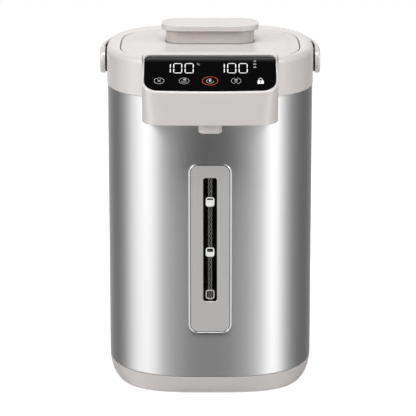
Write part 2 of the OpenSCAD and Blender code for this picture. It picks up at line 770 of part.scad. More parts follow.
// ---------- pump ----------
motor_top = pump_z - 5.4;
hub_z = motor_top + 0.6;
hub_r = 9;
shaft_r = 1.2;
module pump_motor() color([0.55, 0.55, 0.57]) at_pump() difference() {
    union() {
        disc(motor_r, plate_top, motor_top - 1);
        disc(5, plate_top, motor_top);
    }
    disc(shaft_r + running, plate_top + 3, motor_top + over);
}
module motor_rotor() color(steel) at_pump() {
    disc(shaft_r, plate_top + 4, hub_z + 1);
    disc(hub_r, hub_z, hub_z + 3.4);
}
spindle_r = 1.2;
module pump_housing() color(plastic_light) at_pump() difference() {
    union() {
        disc(pump_r, pump_z - 0.4, pump_z + bell_t + chamber_h);
        tube(pump_r, motor_r + 2.5, plate_top, pump_z);
        translate([0, 0, outlet_z]) rotate([90, 0, 0]) cylinder(r = stub_r + 0.3, h = pump_r + 6);
    }
    difference() {
        disc(impeller_r + 1.5, pump_z + bell_t, pump_z + bell_t + chamber_h + over);
        disc(spindle_r, pump_z, pump_z + bell_t + chamber_h - 0.5);
    }
    translate([0, -impeller_r, outlet_z]) rotate([90, 0, 0]) cylinder(r = 2.2, h = pump_r);
    for (a = [45, 135]) rotate([0, 0, a]) block(pump_r + over, -4, 4, plate_top + 3, pump_z - 7);
}
module pump_cover() color(plastic_light) at_pump() difference() {
    union() {
        disc(pump_r, pump_z + bell_t + chamber_h, pump_top);
        disc(drain_r, pump_top, pot_floor - 8 - 0.4);
    }
    disc(drain_in, pump_top - cover_disc_t - over, pot_floor);
}
blades = 6;
module impeller() color([0.85, 0.85, 0.8]) at_pump() difference() {
    union() {
        disc(impeller_r, pump_z + bell_t + 0.4, pump_z + bell_t + 1.8);
        disc(3.2, pump_z + bell_t + 0.4, pump_z + bell_t + 5);
        for (i = [0 : blades - 1]) rotate([0, 0, i * 360 / blades])
            translate([2.4, -0.6, pump_z + bell_t + 1]) cube([impeller_r - 3, 1.2, 4]);
    }
    disc(spindle_r + running, pump_z, pump_top);
}
module suction_hose() color(silicone) translate([0, drain_y, 0])
    tube(drain_r + 2, drain_r + hose_gap, pump_top + 0.2, pot_floor - 3);

// ---------- electrics in the base ----------
board_x = 46;
board_y1 = body_b - 44;
board_y0 = board_y1 - 56;
board_z = plate_top + 5;
board_thick = 1.6;
post_in = 5;
module board_posts() {
    for (x = [-board_x + post_in, board_x - post_in], y = [board_y0 + post_in, board_y1 - post_in])
        translate([x, y, 0]) disc(3, foot_reveal + flange_t, board_z);
}
// Each box on the board: half width, depth and height, and its place from the board's rear left corner
transformer = [12, 26, 16.4];
transformer_at = [22, -34];
relay = [9, 18, 13.4];
relay_at = [66, -26];
socket = [5, 12, 8.4];
socket_at = [8, -52];
capacitor_r = 6;
capacitor_h = 14.4;
capacitors_at = [[54, -42], [68, -42]];
module on_board(at) {
    translate([at[0] - board_x, board_y1 + at[1], board_z + board_thick]) children();
}
module power_board() color(board_green) {
    block(board_x, board_y0, board_y1, board_z, board_z + board_thick);
    on_board(transformer_at) block(transformer.x, 0, transformer.y, 0, transformer.z);
    on_board(relay_at) block(relay.x, 0, relay.y, 0, relay.z);
    on_board(socket_at) block(socket.x, 0, socket.y, 0, socket.z);
    for (at = capacitors_at) on_board(at) disc(capacitor_r, 0, capacitor_h);
}
recess_w = inlet_w - 8;
recess_h = inlet_h - 8;
recess_d = 12;
pin_x = 7;
module inlet_block(w, h, r, y0, y1) {
    upright([for (p = panel_outline(w, h, r, r)) p + [0, inlet_z + h / 2]], y0, y1);
}
module power_inlet() color(dark) {
    difference() {
        union() {
            inlet_block(inlet_w, inlet_h, 0.5, body_b - 20, body_b + 0.2);
            inlet_block(inlet_w + 6, inlet_h + 6, 4, body_b + 0.2, body_b + 1.8);
        }
        inlet_block(recess_w, recess_h, 3, body_b + 1.8 - recess_d, body_b + 1.8 + over);
    }
    for (x = [-pin_x, pin_x]) translate([x, body_b + 1.8 - recess_d - 2, inlet_z])
        rotate([-90, 0, 0]) cylinder(r = 1.8, h = 11);
}

// ---------- lid ----------
lid_edge = 2;
lid_skin = wall;
lid_rings = concat(
    [[0, lid_floor]],
    arc([lid_edge, top_z - lid_edge], lid_edge, 180, 90, 4),
    [[6.5, top_z + 0.1], [9, top_z + lid_crown * 0.75], [12, top_z + lid_crown]]);
grip_a = cap_w / 2 - cap_lip;
grip_b = cap_d / 2 - cap_lip;
socket_gap = 0.6;
lid_under = top_z - lid_skin + 0.2;
vent_in = 22;
vent_y = lid_y + lid_b - vent_in;
vent_a = 17;
vent_b = 8;
post_r = 3;
// The lid's posts stand outside the pot's mouth at the front and inside it at the rear
front_post = (neck_r + 10.3) * [cos(39.44), -sin(39.44)];
rear_post = (neck_r - 2.9) * [cos(33.45), sin(33.45)];
lid_post = [for (p = [front_post, rear_post], x = [-1, 1]) [x * p.x, pot_y + p.y]];
tab_x = barrel_w / 2;
vent_r = 5;
rail_in = 11;
rail_l = 38;
module at_posts() {
    for (p = lid_post) translate([p[0], p[1], 0]) children();
}
module lid_shell() color(plastic_light) difference() {
    union() {
        difference() {
            loft([for (p = lid_rings) lift(lid_outline(p[0]), p[1])]);
            prism(lid_outline(wall), lid_floor - over, lid_under);
        }
        at_posts() disc(post_r, lid_floor + lid_floor_t, lid_under + 1);
        block(tab_x, lid_y + lid_b - 3, hinge_y, hinge_z - 3, hinge_z);
        hinge_axis(barrel_r, tab_x);
    }
    prism(grip_outline(grip_a + socket_gap, grip_b + socket_gap), lid_floor, top_z + 5);
    block(latch_w / 2 + 0.4, lid_front_y - over, lid_front_y + wall + over, latch_z - fit,
        latch_z + latch_t + fit);
    translate([0, vent_y, 0]) block(vent_a, -vent_b, vent_b, lid_under - over, top_z + 5);
    hinge_axis(pin_r + running, tab_x + over);
    at_posts() disc(1, lid_floor, lid_under - 1);
}
module lid_inner_cover() color(plastic_light) difference() {
    union() {
        prism(lid_outline(wall + 0.15), lid_floor, lid_floor + lid_floor_t);
        both_sides() translate([latch_w / 2 + 1.4, 0, 0])
            block(1, lid_front_y + rail_in, lid_front_y + rail_in + rail_l, lid_floor + lid_floor_t,
                latch_z + latch_t + 0.4);
    }
    translate([0, vent_y, 0]) disc(vent_r, lid_floor - over, lid_floor + lid_floor_t + over);
    at_pot() tube(groove_out + 0.2, groove_in - 0.2, lid_floor - over, lid_floor + 1.2);
    at_posts() disc(1.6, lid_floor - over, lid_floor + lid_floor_t + over);
}
groove_in = neck_r + 1;
groove_out = neck_r + 4;
dish_r = neck_r - 3.5;
dish_h = 12;
drip_in = 18.5;
drip_r = 1.8;
module lid_dish() color(steel) at_pot() difference() {
    disc(dish_r, lid_floor - dish_h, lid_floor);
    disc(dish_r - 0.8, lid_floor - dish_h + 0.8, lid_floor + over);
    for (a = [0 : 30 : 330]) rotate([0, 0, a]) translate([dish_r - drip_in, 0, 0])
        disc(drip_r, lid_floor - dish_h - over, lid_floor);
}
module lid_gasket() color(silicone) at_pot() {
    tube(flange_r - 1, dish_r + 0.3, flange_z + pot_t + 0.3, lid_floor);
    tube(groove_out, groove_in, lid_floor - 0.2, lid_floor + 1.2);
}
module steam_vent() color(plastic_light) translate([0, vent_y, 0]) difference() {
    union() {
        block(vent_a - 0.3, -vent_b + 0.3, vent_b - 0.3, lid_under, top_z + lid_crown + 0.1);
        tube(vent_r + 1.5, vent_r, lid_under - 3, lid_under + 0.5);
    }
    for (x = [-12 : 4 : 12]) translate([x, 0, 0])
        block(1, -vent_b + 2.5, vent_b - 2.5, lid_under - fit, top_z + 5);
}
module steam_duct() color(silicone) translate([0, vent_y, 0])
    tube(vent_r + 1.5, vent_r, lid_floor + lid_floor_t, lid_under - 3);
module lid_screws() color(steel) at_posts() {
    disc(0.95, lid_floor + 1, lid_floor + lid_floor_t + 5);
    disc(1.5, lid_floor + 0.2, lid_floor + 1.6);
}
module hinge_pin() color(steel) hinge_axis(pin_r, hinge_x + ear_w - 2.2);

// ---------- grip and latch ----------
neck_z = latch_z;
neck_top = top_z + neck_h;
neck_wall = 2.5;
foot_t = 2;
foot_lip = 2.6;
cam_y = grip_y - 12.2;
cam_z = latch_z + latch_t + 2;
cam_r = 1.2;
fin_half = 1.5;
rib_x = 6;
module grip_neck() color(plastic_light) difference() {
    union() {
        difference() {
            union() {
                prism(grip_outline(grip_a, grip_b), neck_z, neck_top);
                prism(grip_outline(grip_a + foot_lip, grip_b + foot_lip), neck_z, neck_z + foot_t);
                at_coils() disc(coil_r + 1.2, neck_z, neck_z + foot_t);
            }
            prism(grip_outline(grip_a - neck_wall, grip_b - neck_wall), neck_z - over, neck_top + over);
        }
        both_sides() translate([rib_x, 0, 0])
            block(1, grip_y - grip_b + 1, cam_y + 4, cam_z - 3, neck_top - 6);
        translate([0, cam_y, cam_z]) rotate([0, 90, 0]) cylinder(r = cam_r, h = 2 * rib_x + 1, center = true);
    }
    block(5.5, -60, cam_y - 6, neck_z - over, latch_z + latch_t + 0.5);
}
cap_edge = 0.9;
cap_a = cap_w / 2;
cap_b = cap_d / 2;
cap_rings = concat(
    arc([cap_edge, neck_top + cap_edge], cap_edge, 270, 180, 3),
    arc([cap_edge, neck_top + cap_t - cap_edge], cap_edge, 180, 90, 4));
plug_h = 4;
module grip_cap() color(plastic_light) {
    loft([for (p = cap_rings) lift(grip_outline(cap_a - p[0], cap_b - p[0]), p[1])]);
    prism(grip_outline(grip_a - neck_wall - 0.2, grip_b - neck_wall - 0.2), neck_top - plug_h, neck_top + 0.5);
}
coil_r = 2.2;
wire_r = 0.35;
coil_turns = 5;
coil_steps = 10;
wire_sides = 5;
coil_z0 = neck_z + foot_t;
coil_x = 33;
coil_y = grip_y + grip_b + 1.2;
module at_coils() {
    for (x = [-coil_x, coil_x]) translate([x, coil_y, 0]) children();
}
// One wire ring square to the helix's run, at turn angle t
function wire_ring(t, z) = [for (k = [0 : wire_sides - 1]) let (a = 360 * k / wire_sides)
    [(coil_r + wire_r * cos(a)) * cos(t), (coil_r + wire_r * cos(a)) * sin(t), z + wire_r * sin(a)]];
module coil(length) {
    steps = coil_turns * coil_steps;
    rise = (length - 2 * wire_r - 0.1) / steps;
    loft([for (i = [steps : -1 : 0]) wire_ring(360 * i / coil_steps, wire_r + 0.05 + rise * i)]);
}
module grip_springs() color(steel) at_coils() translate([0, 0, coil_z0]) coil(lid_under - coil_z0);
bolt_rear = grip_y - 34.2;
bolt_tip = lid_front_y + 0.3;
fin_top = cam_z + grip_lift + 3;
module latch_bolt() color([0.85, 0.85, 0.83]) difference() {
    union() {
        block(latch_w / 2, bolt_tip, bolt_rear, latch_z, latch_z + latch_t);
        block(4.8, bolt_rear - 1, cam_y + 3, latch_z, latch_z + latch_t);
        block(fin_half, cam_y - grip_lift - 3, cam_y + 3, latch_z, fin_top);
    }
    for (s = [0, grip_lift]) translate([0, cam_y - s, cam_z + s]) rotate([0, 90, 0])
        cylinder(r = cam_r + 0.1, h = 20, center = true);
    translate([0, cam_y - grip_lift / 2, cam_z + grip_lift / 2]) rotate([45, 0, 0])
        cube([20, 2 * cam_r + 0.2, grip_lift * sqrt(2)], center = true);
}

// ---------- bail handle ----------
handle_in = collar_proud + handle_gap;
arm_low = pivot_z - handle_h / 4;
arm_high = arm_low + handle_h;
arm_edge = 1.8;
arm_steps = 36;
arm_section = concat(
    arc([handle_in + arm_edge, arm_low + arm_edge], arm_edge, 180, 270, 2),
    arc([handle_in + handle_t - arm_edge, arm_low + arm_edge], arm_edge, 270, 360, 2),
    arc([handle_in + handle_t - arm_edge, arm_high - arm_edge], arm_edge, 0, 90, 2),
    arc([handle_in + arm_edge, arm_high - arm_edge], arm_edge, 90, 180, 2));
module handle() color(plastic_grey) difference() {
    union() {
        loft([for (i = [arm_steps : -1 : 0]) let (t = 180 * i / arm_steps)
            [for (s = arm_section) let (p = inset_point(t, body_a, body_b, body_square, -s[0])) [p.x, p.y, s[1]]]]);
        pivot_axis(lug_r, body_a + handle_in, body_a + handle_in + handle_t);
    }
    pivot_axis(pivot_r + running, body_a, body_a + 30);
}
module handle_pivots() color(steel) {
    pivot_axis(pivot_r, side_x - wall - 6.4, body_a + handle_in + handle_t - 0.4);
    pivot_axis(pivot_r + 2.6, side_x - wall - 6.4, side_x - wall - 4);
}

// ---------- the parts ----------
outer_shell();
base_housing();
bottom_plate();
foot_ring();
base_screws();
tie_rods();
collar();
head_housing();
head_cover();
display_window();
light_mask();
display_board();
touch_contacts();
spout_nozzle();
outlet_pipe();
stop_valve();
stop_valve_ball();
sight_tube();
lower_hose();
level_channel();
level_frame();
level_plate();
level_lens();
inner_pot();
pot_neck();
pot_gasket();
heater_plate();
temperature_sensor();
thermal_cutouts();
heat_shield();
pump_motor();
motor_rotor();
pump_housing();
pump_cover();
impeller();
suction_hose();
power_board();
power_inlet();
lid_shell();
lid_inner_cover();
lid_dish();
lid_gasket();
steam_vent();
steam_duct();
lid_screws();
hinge_pin();
grip_neck();
grip_cap();
grip_springs();
latch_bolt();
handle();
handle_pivots();
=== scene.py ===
# %% [markdown]
# # An electric thermo pot, dressed for the camera
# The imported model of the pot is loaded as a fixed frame. It has every part in its real place, but
# engineering solids have bare edges and plain paint. This lesson gives each visible part its
# rounded edges, its real finish and its printed marks, and leaves the moving parts on their bodies.

# %% Load the frame
import math

import bmesh
import bpy
from mathutils import Matrix, Vector


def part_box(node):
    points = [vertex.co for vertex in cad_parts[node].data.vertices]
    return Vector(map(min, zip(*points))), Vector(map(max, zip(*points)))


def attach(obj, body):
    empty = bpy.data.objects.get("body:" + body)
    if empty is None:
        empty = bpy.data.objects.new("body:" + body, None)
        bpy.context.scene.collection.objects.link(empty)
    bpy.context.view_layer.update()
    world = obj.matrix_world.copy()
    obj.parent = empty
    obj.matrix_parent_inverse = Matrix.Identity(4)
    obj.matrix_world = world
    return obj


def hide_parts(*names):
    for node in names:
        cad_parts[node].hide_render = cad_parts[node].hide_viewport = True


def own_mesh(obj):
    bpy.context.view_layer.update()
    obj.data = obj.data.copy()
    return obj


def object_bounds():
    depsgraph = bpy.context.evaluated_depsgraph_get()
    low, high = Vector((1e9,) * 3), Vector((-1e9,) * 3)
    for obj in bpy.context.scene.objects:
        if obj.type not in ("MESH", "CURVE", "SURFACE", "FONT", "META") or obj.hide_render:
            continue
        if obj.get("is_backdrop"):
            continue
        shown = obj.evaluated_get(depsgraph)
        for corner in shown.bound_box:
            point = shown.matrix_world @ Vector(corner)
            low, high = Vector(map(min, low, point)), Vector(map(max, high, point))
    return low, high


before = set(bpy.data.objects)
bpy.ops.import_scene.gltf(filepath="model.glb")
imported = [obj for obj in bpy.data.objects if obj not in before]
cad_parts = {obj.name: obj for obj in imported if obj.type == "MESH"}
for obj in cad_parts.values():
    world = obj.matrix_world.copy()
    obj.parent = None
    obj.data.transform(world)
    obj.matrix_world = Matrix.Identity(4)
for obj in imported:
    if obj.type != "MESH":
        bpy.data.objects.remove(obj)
cad_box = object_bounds()

# %% [markdown]
# ## The view
# The pot stands upright and is seen from the front, a little from above, with a long lens. The
# camera is set first, so that every later step can be looked at. Its target is a point on the
# body's axis, and a long focal length at a long distance gives the calm, flat look of a
# catalogue picture.

# %% Camera
MM = 0.001
view_tilt = math.radians(13.1)
view_distance = 2.4186
view_height = 0.1634


def aim(thing, place, target):
    thing.location = place
    thing.rotation_mode = "QUATERNION"
    thing.rotation_quaternion = (Vector(target) - Vector(place)).to_track_quat("-Z", "Y")
    bpy.context.scene.collection.objects.link(thing)


camera_data = bpy.data.cameras.new("catalogue_camera")
camera_data.sensor_width = 36.0
camera_data.lens = 202.8
camera_data.shift_x = -0.005
camera_data.clip_start, camera_data.clip_end = 0.05, 60.0
camera = bpy.data.objects.new("catalogue_camera", camera_data)
back, up = view_distance * math.cos(view_tilt), view_distance * math.sin(view_tilt)
aim(camera, (0, -back, view_height + up), (0, 0, view_height))
bpy.context.scene.camera = camera
print("camera at", [round(v, 3) for v in camera.location])

# %% [markdown]
# ## Outlines
# Body, base and lid are "squircles": the curve |x/a|^n + |y/b|^n = 1, between an ellipse and a
# rectangle. One function draws them, and moves the curve inwards along its normal, so that a
# wall or a rounded edge keeps the same width all the way round. The grip, the window and the
# small marks are rectangles with round corners.

# %% The squircle, in millimetres
def squircle(a, b, n, inset=0.0, count=240, centre=(0.0, 0.0)):
    ring = []
    for k in range(count):
        t = 2 * math.pi * k / count
        c, s = math.cos(t), math.sin(t)
        r = (abs(c / a) ** n + abs(s / b) ** n) ** (-1 / n)
        x, y = r * c, r * s
        gx = math.copysign(abs(x / a) ** (n - 1) / a, x)
        gy = math.copysign(abs(y / b) ** (n - 1) / b, y)
        g = math.hypot(gx, gy)
        ring.append((x - inset * gx / g + centre[0], y - inset * gy / g + centre[1]))
    return ring


print("squircle:", len(squircle(2, 1, 3)), "points")


# %% Arcs, circles and rectangles with round corners
def arc(cx, cy, r, start, end, steps):
    out = []
    for i in range(steps + 1):
        t = math.radians(start + (end - start) * i / steps)
        out.append((cx + r * math.cos(t), cy + r * math.sin(t)))
    return out


def circle(r, steps, cx=0.0, cy=0.0):
    turns = [2 * math.pi * k / steps for k in range(steps)]
    return [(cx + r * math.cos(t), cy + r * math.sin(t)) for t in turns]


def rounded_box(w, h, r, cx=0.0, cy=0.0, steps=8):
    x, y = w / 2 - r, h / 2 - r
    return (arc(cx + x, cy + y, r, 0, 90, steps) + arc(cx - x, cy + y, r, 90, 180, steps)
            + arc(cx - x, cy - y, r, 180, 270, steps) + arc(cx + x, cy - y, r, 270, 360, steps))


def level_ring(outline, z):
    return [(x, y, z) for x, y in outline]


def stack(plan, profile):
    return [level_ring(plan(inset), z) for inset, z in profile]


def upright_ring(outline, y):
    return [(x, z, y) for x, z in outline]


print("rectangle with round corners:", len(rounded_box(4, 3, 1)), "points")


# %% The two main outlines
fine_count = 288
body_a, body_b, body_n = 103.5, 118.0, 2.7
lid_a, lid_b, lid_n, lid_y, lid_front = 89.4, 89.0, 3.5, -15.0, -88.9
base_seam, deck_z = 18.0, 338.0


def body(inset, count=240):
    return squircle(body_a, body_b, body_n, inset, count)


def lid(inset):
    ring = squircle(lid_a, lid_b, lid_n, inset, fine_count, (0, lid_y))
    return [(x, max(y, lid_front + inset)) for x, y in ring]


print("body", 2 * body_a, "x", 2 * body_b, "mm; lid", 2 * lid_a, "mm wide")

# %% [markdown]
# ## Making solids
# Nearly all of the pot is moulded, so a part is a stack of rings joined into a skin. Its profile
# says how far each ring lies in from the outline, and at what height. That gives a rounded edge
# exactly where it is wanted, which a bevel on a finished mesh doesn't promise. Openings are cut
# afterwards with exact booleans, by cutters that reach well past the wall they go through.

# %% Skins from rings
upright = Matrix(((1, 0, 0), (0, 0, 1), (0, 1, 0)))


def lay_along_x(side=1):
    return Matrix(((0, 0, side), (1, 0, 0), (0, 1, 0)))


def add_piece(name, bm):
    mesh = bpy.data.meshes.new(name)
    bm.to_mesh(mesh)
    bm.free()
    piece = bpy.data.objects.new(name, mesh)
    bpy.context.scene.collection.objects.link(piece)
    return piece


def add_band(bm, low, high):
    for k in range(len(low)):
        j = (k + 1) % len(low)
        bm.faces.new((low[k], low[j], high[j], high[k]))


def skin(name, rings, closed=False, place=None):
    bm = bmesh.new()
    rows = [[bm.verts.new((place @ Vector(p) if place else Vector(p)) * MM) for p in ring]
            for ring in rings]
    for low, high in zip(rows, rows[1:] + [rows[0]] if closed else rows[1:]):
        add_band(bm, low, high)
    if not closed:
        bm.faces.new(list(reversed(rows[0])))
        bm.faces.new(rows[-1])
    bmesh.ops.recalc_face_normals(bm, faces=bm.faces)
    return add_piece(name, bm)


# %% Prisms, blocks, rods, cuts and soft edges
def prism(name, outline, low, high, place=None):
    return skin(name, [level_ring(outline, low), level_ring(outline, high)], place=place)


def block(name, x0, x1, y0, y1, z0, z1):
    return prism(name, [(x0, y0), (x1, y0), (x1, y1), (x0, y1)], z0, z1)


def rod(name, r, start, end, axis="Z", at=(0.0, 0.0), steps=48):
    return prism(name, circle(r, steps, *at), start, end, lay_along_x() if axis == "X" else None)


def carve(piece, tools, how="DIFFERENCE"):
    for tool in tools:
        step = piece.modifiers.new("carve", "BOOLEAN")
        step.object, step.operation, step.solver = tool, how, "EXACT"
    shaped = piece.evaluated_get(bpy.context.evaluated_depsgraph_get())
    shape = bpy.data.meshes.new_from_object(shaped)
    piece.modifiers.clear()
    piece.data = shape
    for tool in tools:
        bpy.data.objects.remove(tool)
    return piece


def soften(piece, angle=32, even=True):
    piece.data.shade_smooth()
    piece.data.set_sharp_from_angle(angle=math.radians(angle))
    if even:
        piece.modifiers.new("even_normals", "WEIGHTED_NORMAL").keep_sharp = True


# %% Dressing a piece: its finish and its body
def dress(piece, finish, body_name, slot, *nodes):
    piece.data.materials.clear()
    piece.data.materials.append(finish)
    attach(piece, body_name)
    if nodes:
        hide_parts(*nodes)
    print(piece.name, len(piece.data.polygons), "faces")


# %% [markdown]
# ## Shared surface effects
# Three effects serve the finishes. Moulded plastic is never quite even: the tone drifts a
# little and the skin has a very fine grain. Brushed metal has long, thin scratches in one
# direction. Polished and printed surfaces have a faint smudge that only moves their gloss.
# Each is a node group with its own inputs, so that each material sets its own values. In the
# first two, a noise between 0 and 1 moves colour and roughness a little to either side.

# %% Node helpers
def paint(r, g, b):
    def linear(v):
        v /= 255.0
        return v / 12.92 if v <= 0.04045 else ((v + 0.055) / 1.055) ** 2.4
    return (linear(r), linear(g), linear(b), 1.0)


def new_node(tree, kind, **values):
    made = tree.nodes.new(kind)
    for key, value in values.items():
        if hasattr(made, key):
            setattr(made, key, value)
        else:
            made.inputs[key].default_value = value
    return made


def math_node(tree, operation, *fixed):
    made = new_node(tree, "ShaderNodeMath", operation=operation)
    for socket, value in zip(made.inputs, fixed):
        if value is not None:
            socket.default_value = value
    return made


def wire(tree, *pairs):
    for source, target in pairs:
        tree.links.new(source, target)


# %% Group helpers
surface_outputs = [("Colour", "NodeSocketColor"), ("Roughness", "NodeSocketFloat"),
                   ("Height", "NodeSocketFloat")]


def new_group(name, inputs, outputs):
    group = bpy.data.node_groups.new(name, "ShaderNodeTree")
    for label, kind, value in inputs:
        socket = group.interface.new_socket(label, in_out="INPUT", socket_type=kind)
        socket.default_value = value
    for label, kind in outputs:
        group.interface.new_socket(label, in_out="OUTPUT", socket_type=kind)
    return group, group.nodes.new("NodeGroupInput"), group.nodes.new("NodeGroupOutput")


def vary(group, source, result, noise, amount, rough_spread):
    shift = math_node(group, "SUBTRACT", None, 0.5)
    tone = math_node(group, "MULTIPLY_ADD", None, None, 1.0)
    mix = new_node(group, "ShaderNodeVectorMath", operation="SCALE")
    rough = math_node(group, "MULTIPLY_ADD", None, rough_spread)
    wire(group,
         (noise, shift.inputs[0]),
         (shift.outputs[0], tone.inputs[0]),
         (source.outputs[amount], tone.inputs[1]),
         (source.outputs["Colour"], mix.inputs[0]),
         (tone.outputs[0], mix.inputs["Scale"]),
         (mix.outputs[0], result.inputs["Colour"]),
         (shift.outputs[0], rough.inputs[0]),
         (source.outputs["Roughness"], rough.inputs[2]),
         (rough.outputs[0], result.inputs["Roughness"]))


# %% The moulded-plastic group
moulded, source, result = new_group("moulded_skin", [
    ("Colour", "NodeSocketColor", (0.8, 0.8, 0.8, 1)),
    ("Drift", "NodeSocketFloat", 0.03),
    ("Roughness", "NodeSocketFloat", 0.35)], surface_outputs)
place = new_node(moulded, "ShaderNodeTexCoord")
broad = new_node(moulded, "ShaderNodeTexNoise", Scale=14.0, Detail=2.0)
grain = new_node(moulded, "ShaderNodeTexNoise", Scale=2600.0, Detail=2.0)
wire(moulded,
     (place.outputs["Object"], broad.inputs["Vector"]),
     (place.outputs["Object"], grain.inputs["Vector"]),
     (grain.outputs["Fac"], result.inputs["Height"]))
vary(moulded, source, result, broad.outputs["Fac"], "Drift", 0.04)
print(moulded.name, len(moulded.nodes), "nodes")

# %% The brushed-metal group
brushed, source, result = new_group("brushed_lines", [
    ("Colour", "NodeSocketColor", (0.6, 0.6, 0.6, 1)),
    ("Contrast", "NodeSocketFloat", 0.1),
    ("Roughness", "NodeSocketFloat", 0.3),
    ("Stretch", "NodeSocketVector", (12.0, 12.0, 2400.0))], surface_outputs)
place = new_node(brushed, "ShaderNodeTexCoord")
stretch = new_node(brushed, "ShaderNodeVectorMath", operation="MULTIPLY")
lines = new_node(brushed, "ShaderNodeTexNoise", Scale=1.0, Detail=4.0)
wire(brushed,
     (place.outputs["Object"], stretch.inputs[0]),
     (source.outputs["Stretch"], stretch.inputs[1]),
     (stretch.outputs[0], lines.inputs["Vector"]),
     (lines.outputs["Fac"], result.inputs["Height"]))
vary(brushed, source, result, lines.outputs["Fac"], "Contrast", 0.08)
print(brushed.name, len(brushed.nodes), "nodes")

# %% The smudge group
smudged, source, result = new_group("faint_smudge", [
    ("Lowest", "NodeSocketFloat", 0.3),
    ("Highest", "NodeSocketFloat", 0.35)], [("Roughness", "NodeSocketFloat")])
place = new_node(smudged, "ShaderNodeTexCoord")
smudge = new_node(smudged, "ShaderNodeTexNoise", Scale=30.0, Detail=3.0)
level = new_node(smudged, "ShaderNodeMapRange")
wire(smudged,
     (place.outputs["Object"], smudge.inputs["Vector"]),
     (smudge.outputs["Fac"], level.inputs["Value"]),
     (source.outputs["Lowest"], level.inputs["To Min"]),
     (source.outputs["Highest"], level.inputs["To Max"]),
     (level.outputs["Result"], result.inputs["Roughness"]))
print(smudged.name, len(smudged.nodes), "nodes")

# %% [markdown]
# ## Finishes
# Most finishes are moulded skin or brushed lines with their own colour, gloss and relief.
# Glossy, clear and printed ones have one colour and the faint smudge. Inks glow a little. The
# display's figures are lit; on the level marks and on the strands of the sight tube the glow is painted
# light.

# %% Finish helpers
cad_finishes = len(bpy.data.materials)


def new_finish(name, colour, metallic):
    finish = bpy.data.materials.new(name)
    finish.use_nodes = True
    tree = finish.node_tree
    shader = tree.nodes["Principled BSDF"]
    shader.inputs["Base Color"].default_value = colour
    shader.inputs["Metallic"].default_value = metallic
    return finish, tree, shader


def finish_from(group, name, colour, roughness, bump, metallic=0.0, **group_values):
    finish, tree, shader = new_finish(name, colour, metallic)
    effect = new_node(tree, "ShaderNodeGroup", node_tree=group)
    group_values.update(Colour=colour, Roughness=roughness)
    for key, value in group_values.items():
        effect.inputs[key].default_value = value
    relief = new_node(tree, "ShaderNodeBump", Strength=bump, Distance=0.0001)
    wire(tree,
         (effect.outputs["Colour"], shader.inputs["Base Color"]),
         (effect.outputs["Roughness"], shader.inputs["Roughness"]),
         (effect.outputs["Height"], relief.inputs["Height"]),
         (relief.outputs["Normal"], shader.inputs["Normal"]))
    return finish, shader


def plastic(name, colour, roughness, bump, drift):
    return finish_from(moulded, name, colour, roughness, bump, Drift=drift)


# %% Plastics
warm_grey, warm_shader = plastic("warm_grey_plastic", paint(213, 208, 206), 0.22, 0.05, 0.02)
warm_shader.inputs["Specular IOR Level"].default_value = 1.0
pale_grey, _ = plastic("pale_grey_plastic", paint(211, 207, 204), 0.28, 0.05, 0.015)
spout_grey, _ = plastic("spout_plastic", paint(214, 209, 207), 0.26, 0.05, 0.03)
# The grip neck's grey is darker than the other grey parts: painted shade under the cap.
neck_grey_painted_shade, _ = plastic("grip_neck_plastic_painted_shade", paint(197, 191, 188), 0.38, 0.06, 0.03)
matt_black, _ = plastic("matt_black_plastic", paint(26, 26, 27), 0.55, 0.1, 0.2)
rubber, _ = plastic("soft_grey_rubber", paint(96, 96, 98), 0.75, 0.2, 0.1)
base_grey, _ = plastic("base_plastic", paint(196, 191, 189), 0.28, 0.05, 0.015)
silicone, _ = plastic("milky_silicone", paint(222, 219, 211), 0.45, 0.08, 0.04)
board_green, _ = plastic("circuit_board", paint(34, 92, 58), 0.45, 0.15, 0.25)
print("plastics:", len(bpy.data.materials) - cad_finishes)

# %% Metals
sleeve_steel, sleeve_shader = finish_from(
    brushed, "brushed_sleeve_steel", paint(203, 203, 203), 0.5, 0.04, metallic=1.0,
    Contrast=0.08, Stretch=(6.0, 6.0, 2600.0))
sleeve_shader.inputs["Anisotropic"].default_value = 0.9
sleeve_shader.inputs["Anisotropic Rotation"].default_value = 0.25
tree = sleeve_steel.node_tree
around = new_node(tree, "ShaderNodeTangent", direction_type="RADIAL", axis="Z")
wire(tree, (around.outputs["Tangent"], sleeve_shader.inputs["Tangent"]))
plate_silver, _ = finish_from(
    brushed, "satin_silver_plate", paint(202, 200, 198), 0.42, 0.05, metallic=0.35,
    Contrast=0.05, Stretch=(1500.0, 10.0, 10.0))
inner_steel, _ = finish_from(
    brushed, "satin_inner_steel", paint(190, 190, 190), 0.3, 0.1, metallic=1.0,
    Contrast=0.08, Stretch=(14.0, 14.0, 900.0))
bright_steel, _ = finish_from(
    brushed, "bright_steel", paint(198, 198, 200), 0.22, 0.05, metallic=1.0,
    Contrast=0.05, Stretch=(300.0, 300.0, 300.0))
cast_metal, _ = finish_from(
    brushed, "cast_aluminium", paint(176, 177, 180), 0.5, 0.5, metallic=1.0,
    Contrast=0.15, Stretch=(700.0, 700.0, 700.0))
print("finishes:", len(bpy.data.materials) - cad_finishes)


# %% Gloss black, chrome, glass and printed ink
def plain(name, colour, roughness, metallic=0.0, **sockets):
    finish, tree, shader = new_finish(name, colour, metallic)
    effect = new_node(tree, "ShaderNodeGroup", node_tree=smudged)
    effect.inputs["Lowest"].default_value = max(0.0, roughness - 0.02)
    effect.inputs["Highest"].default_value = roughness + 0.03
    wire(tree, (effect.outputs["Roughness"], shader.inputs["Roughness"]))
    for key, value in sockets.items():
        shader.inputs[key.replace("_", " ")].default_value = value
    return finish


def ink(name, colour, strength, glow=(1, 1, 1, 1)):
    return plain(name, colour, 0.5, Emission_Color=glow, Emission_Strength=strength)


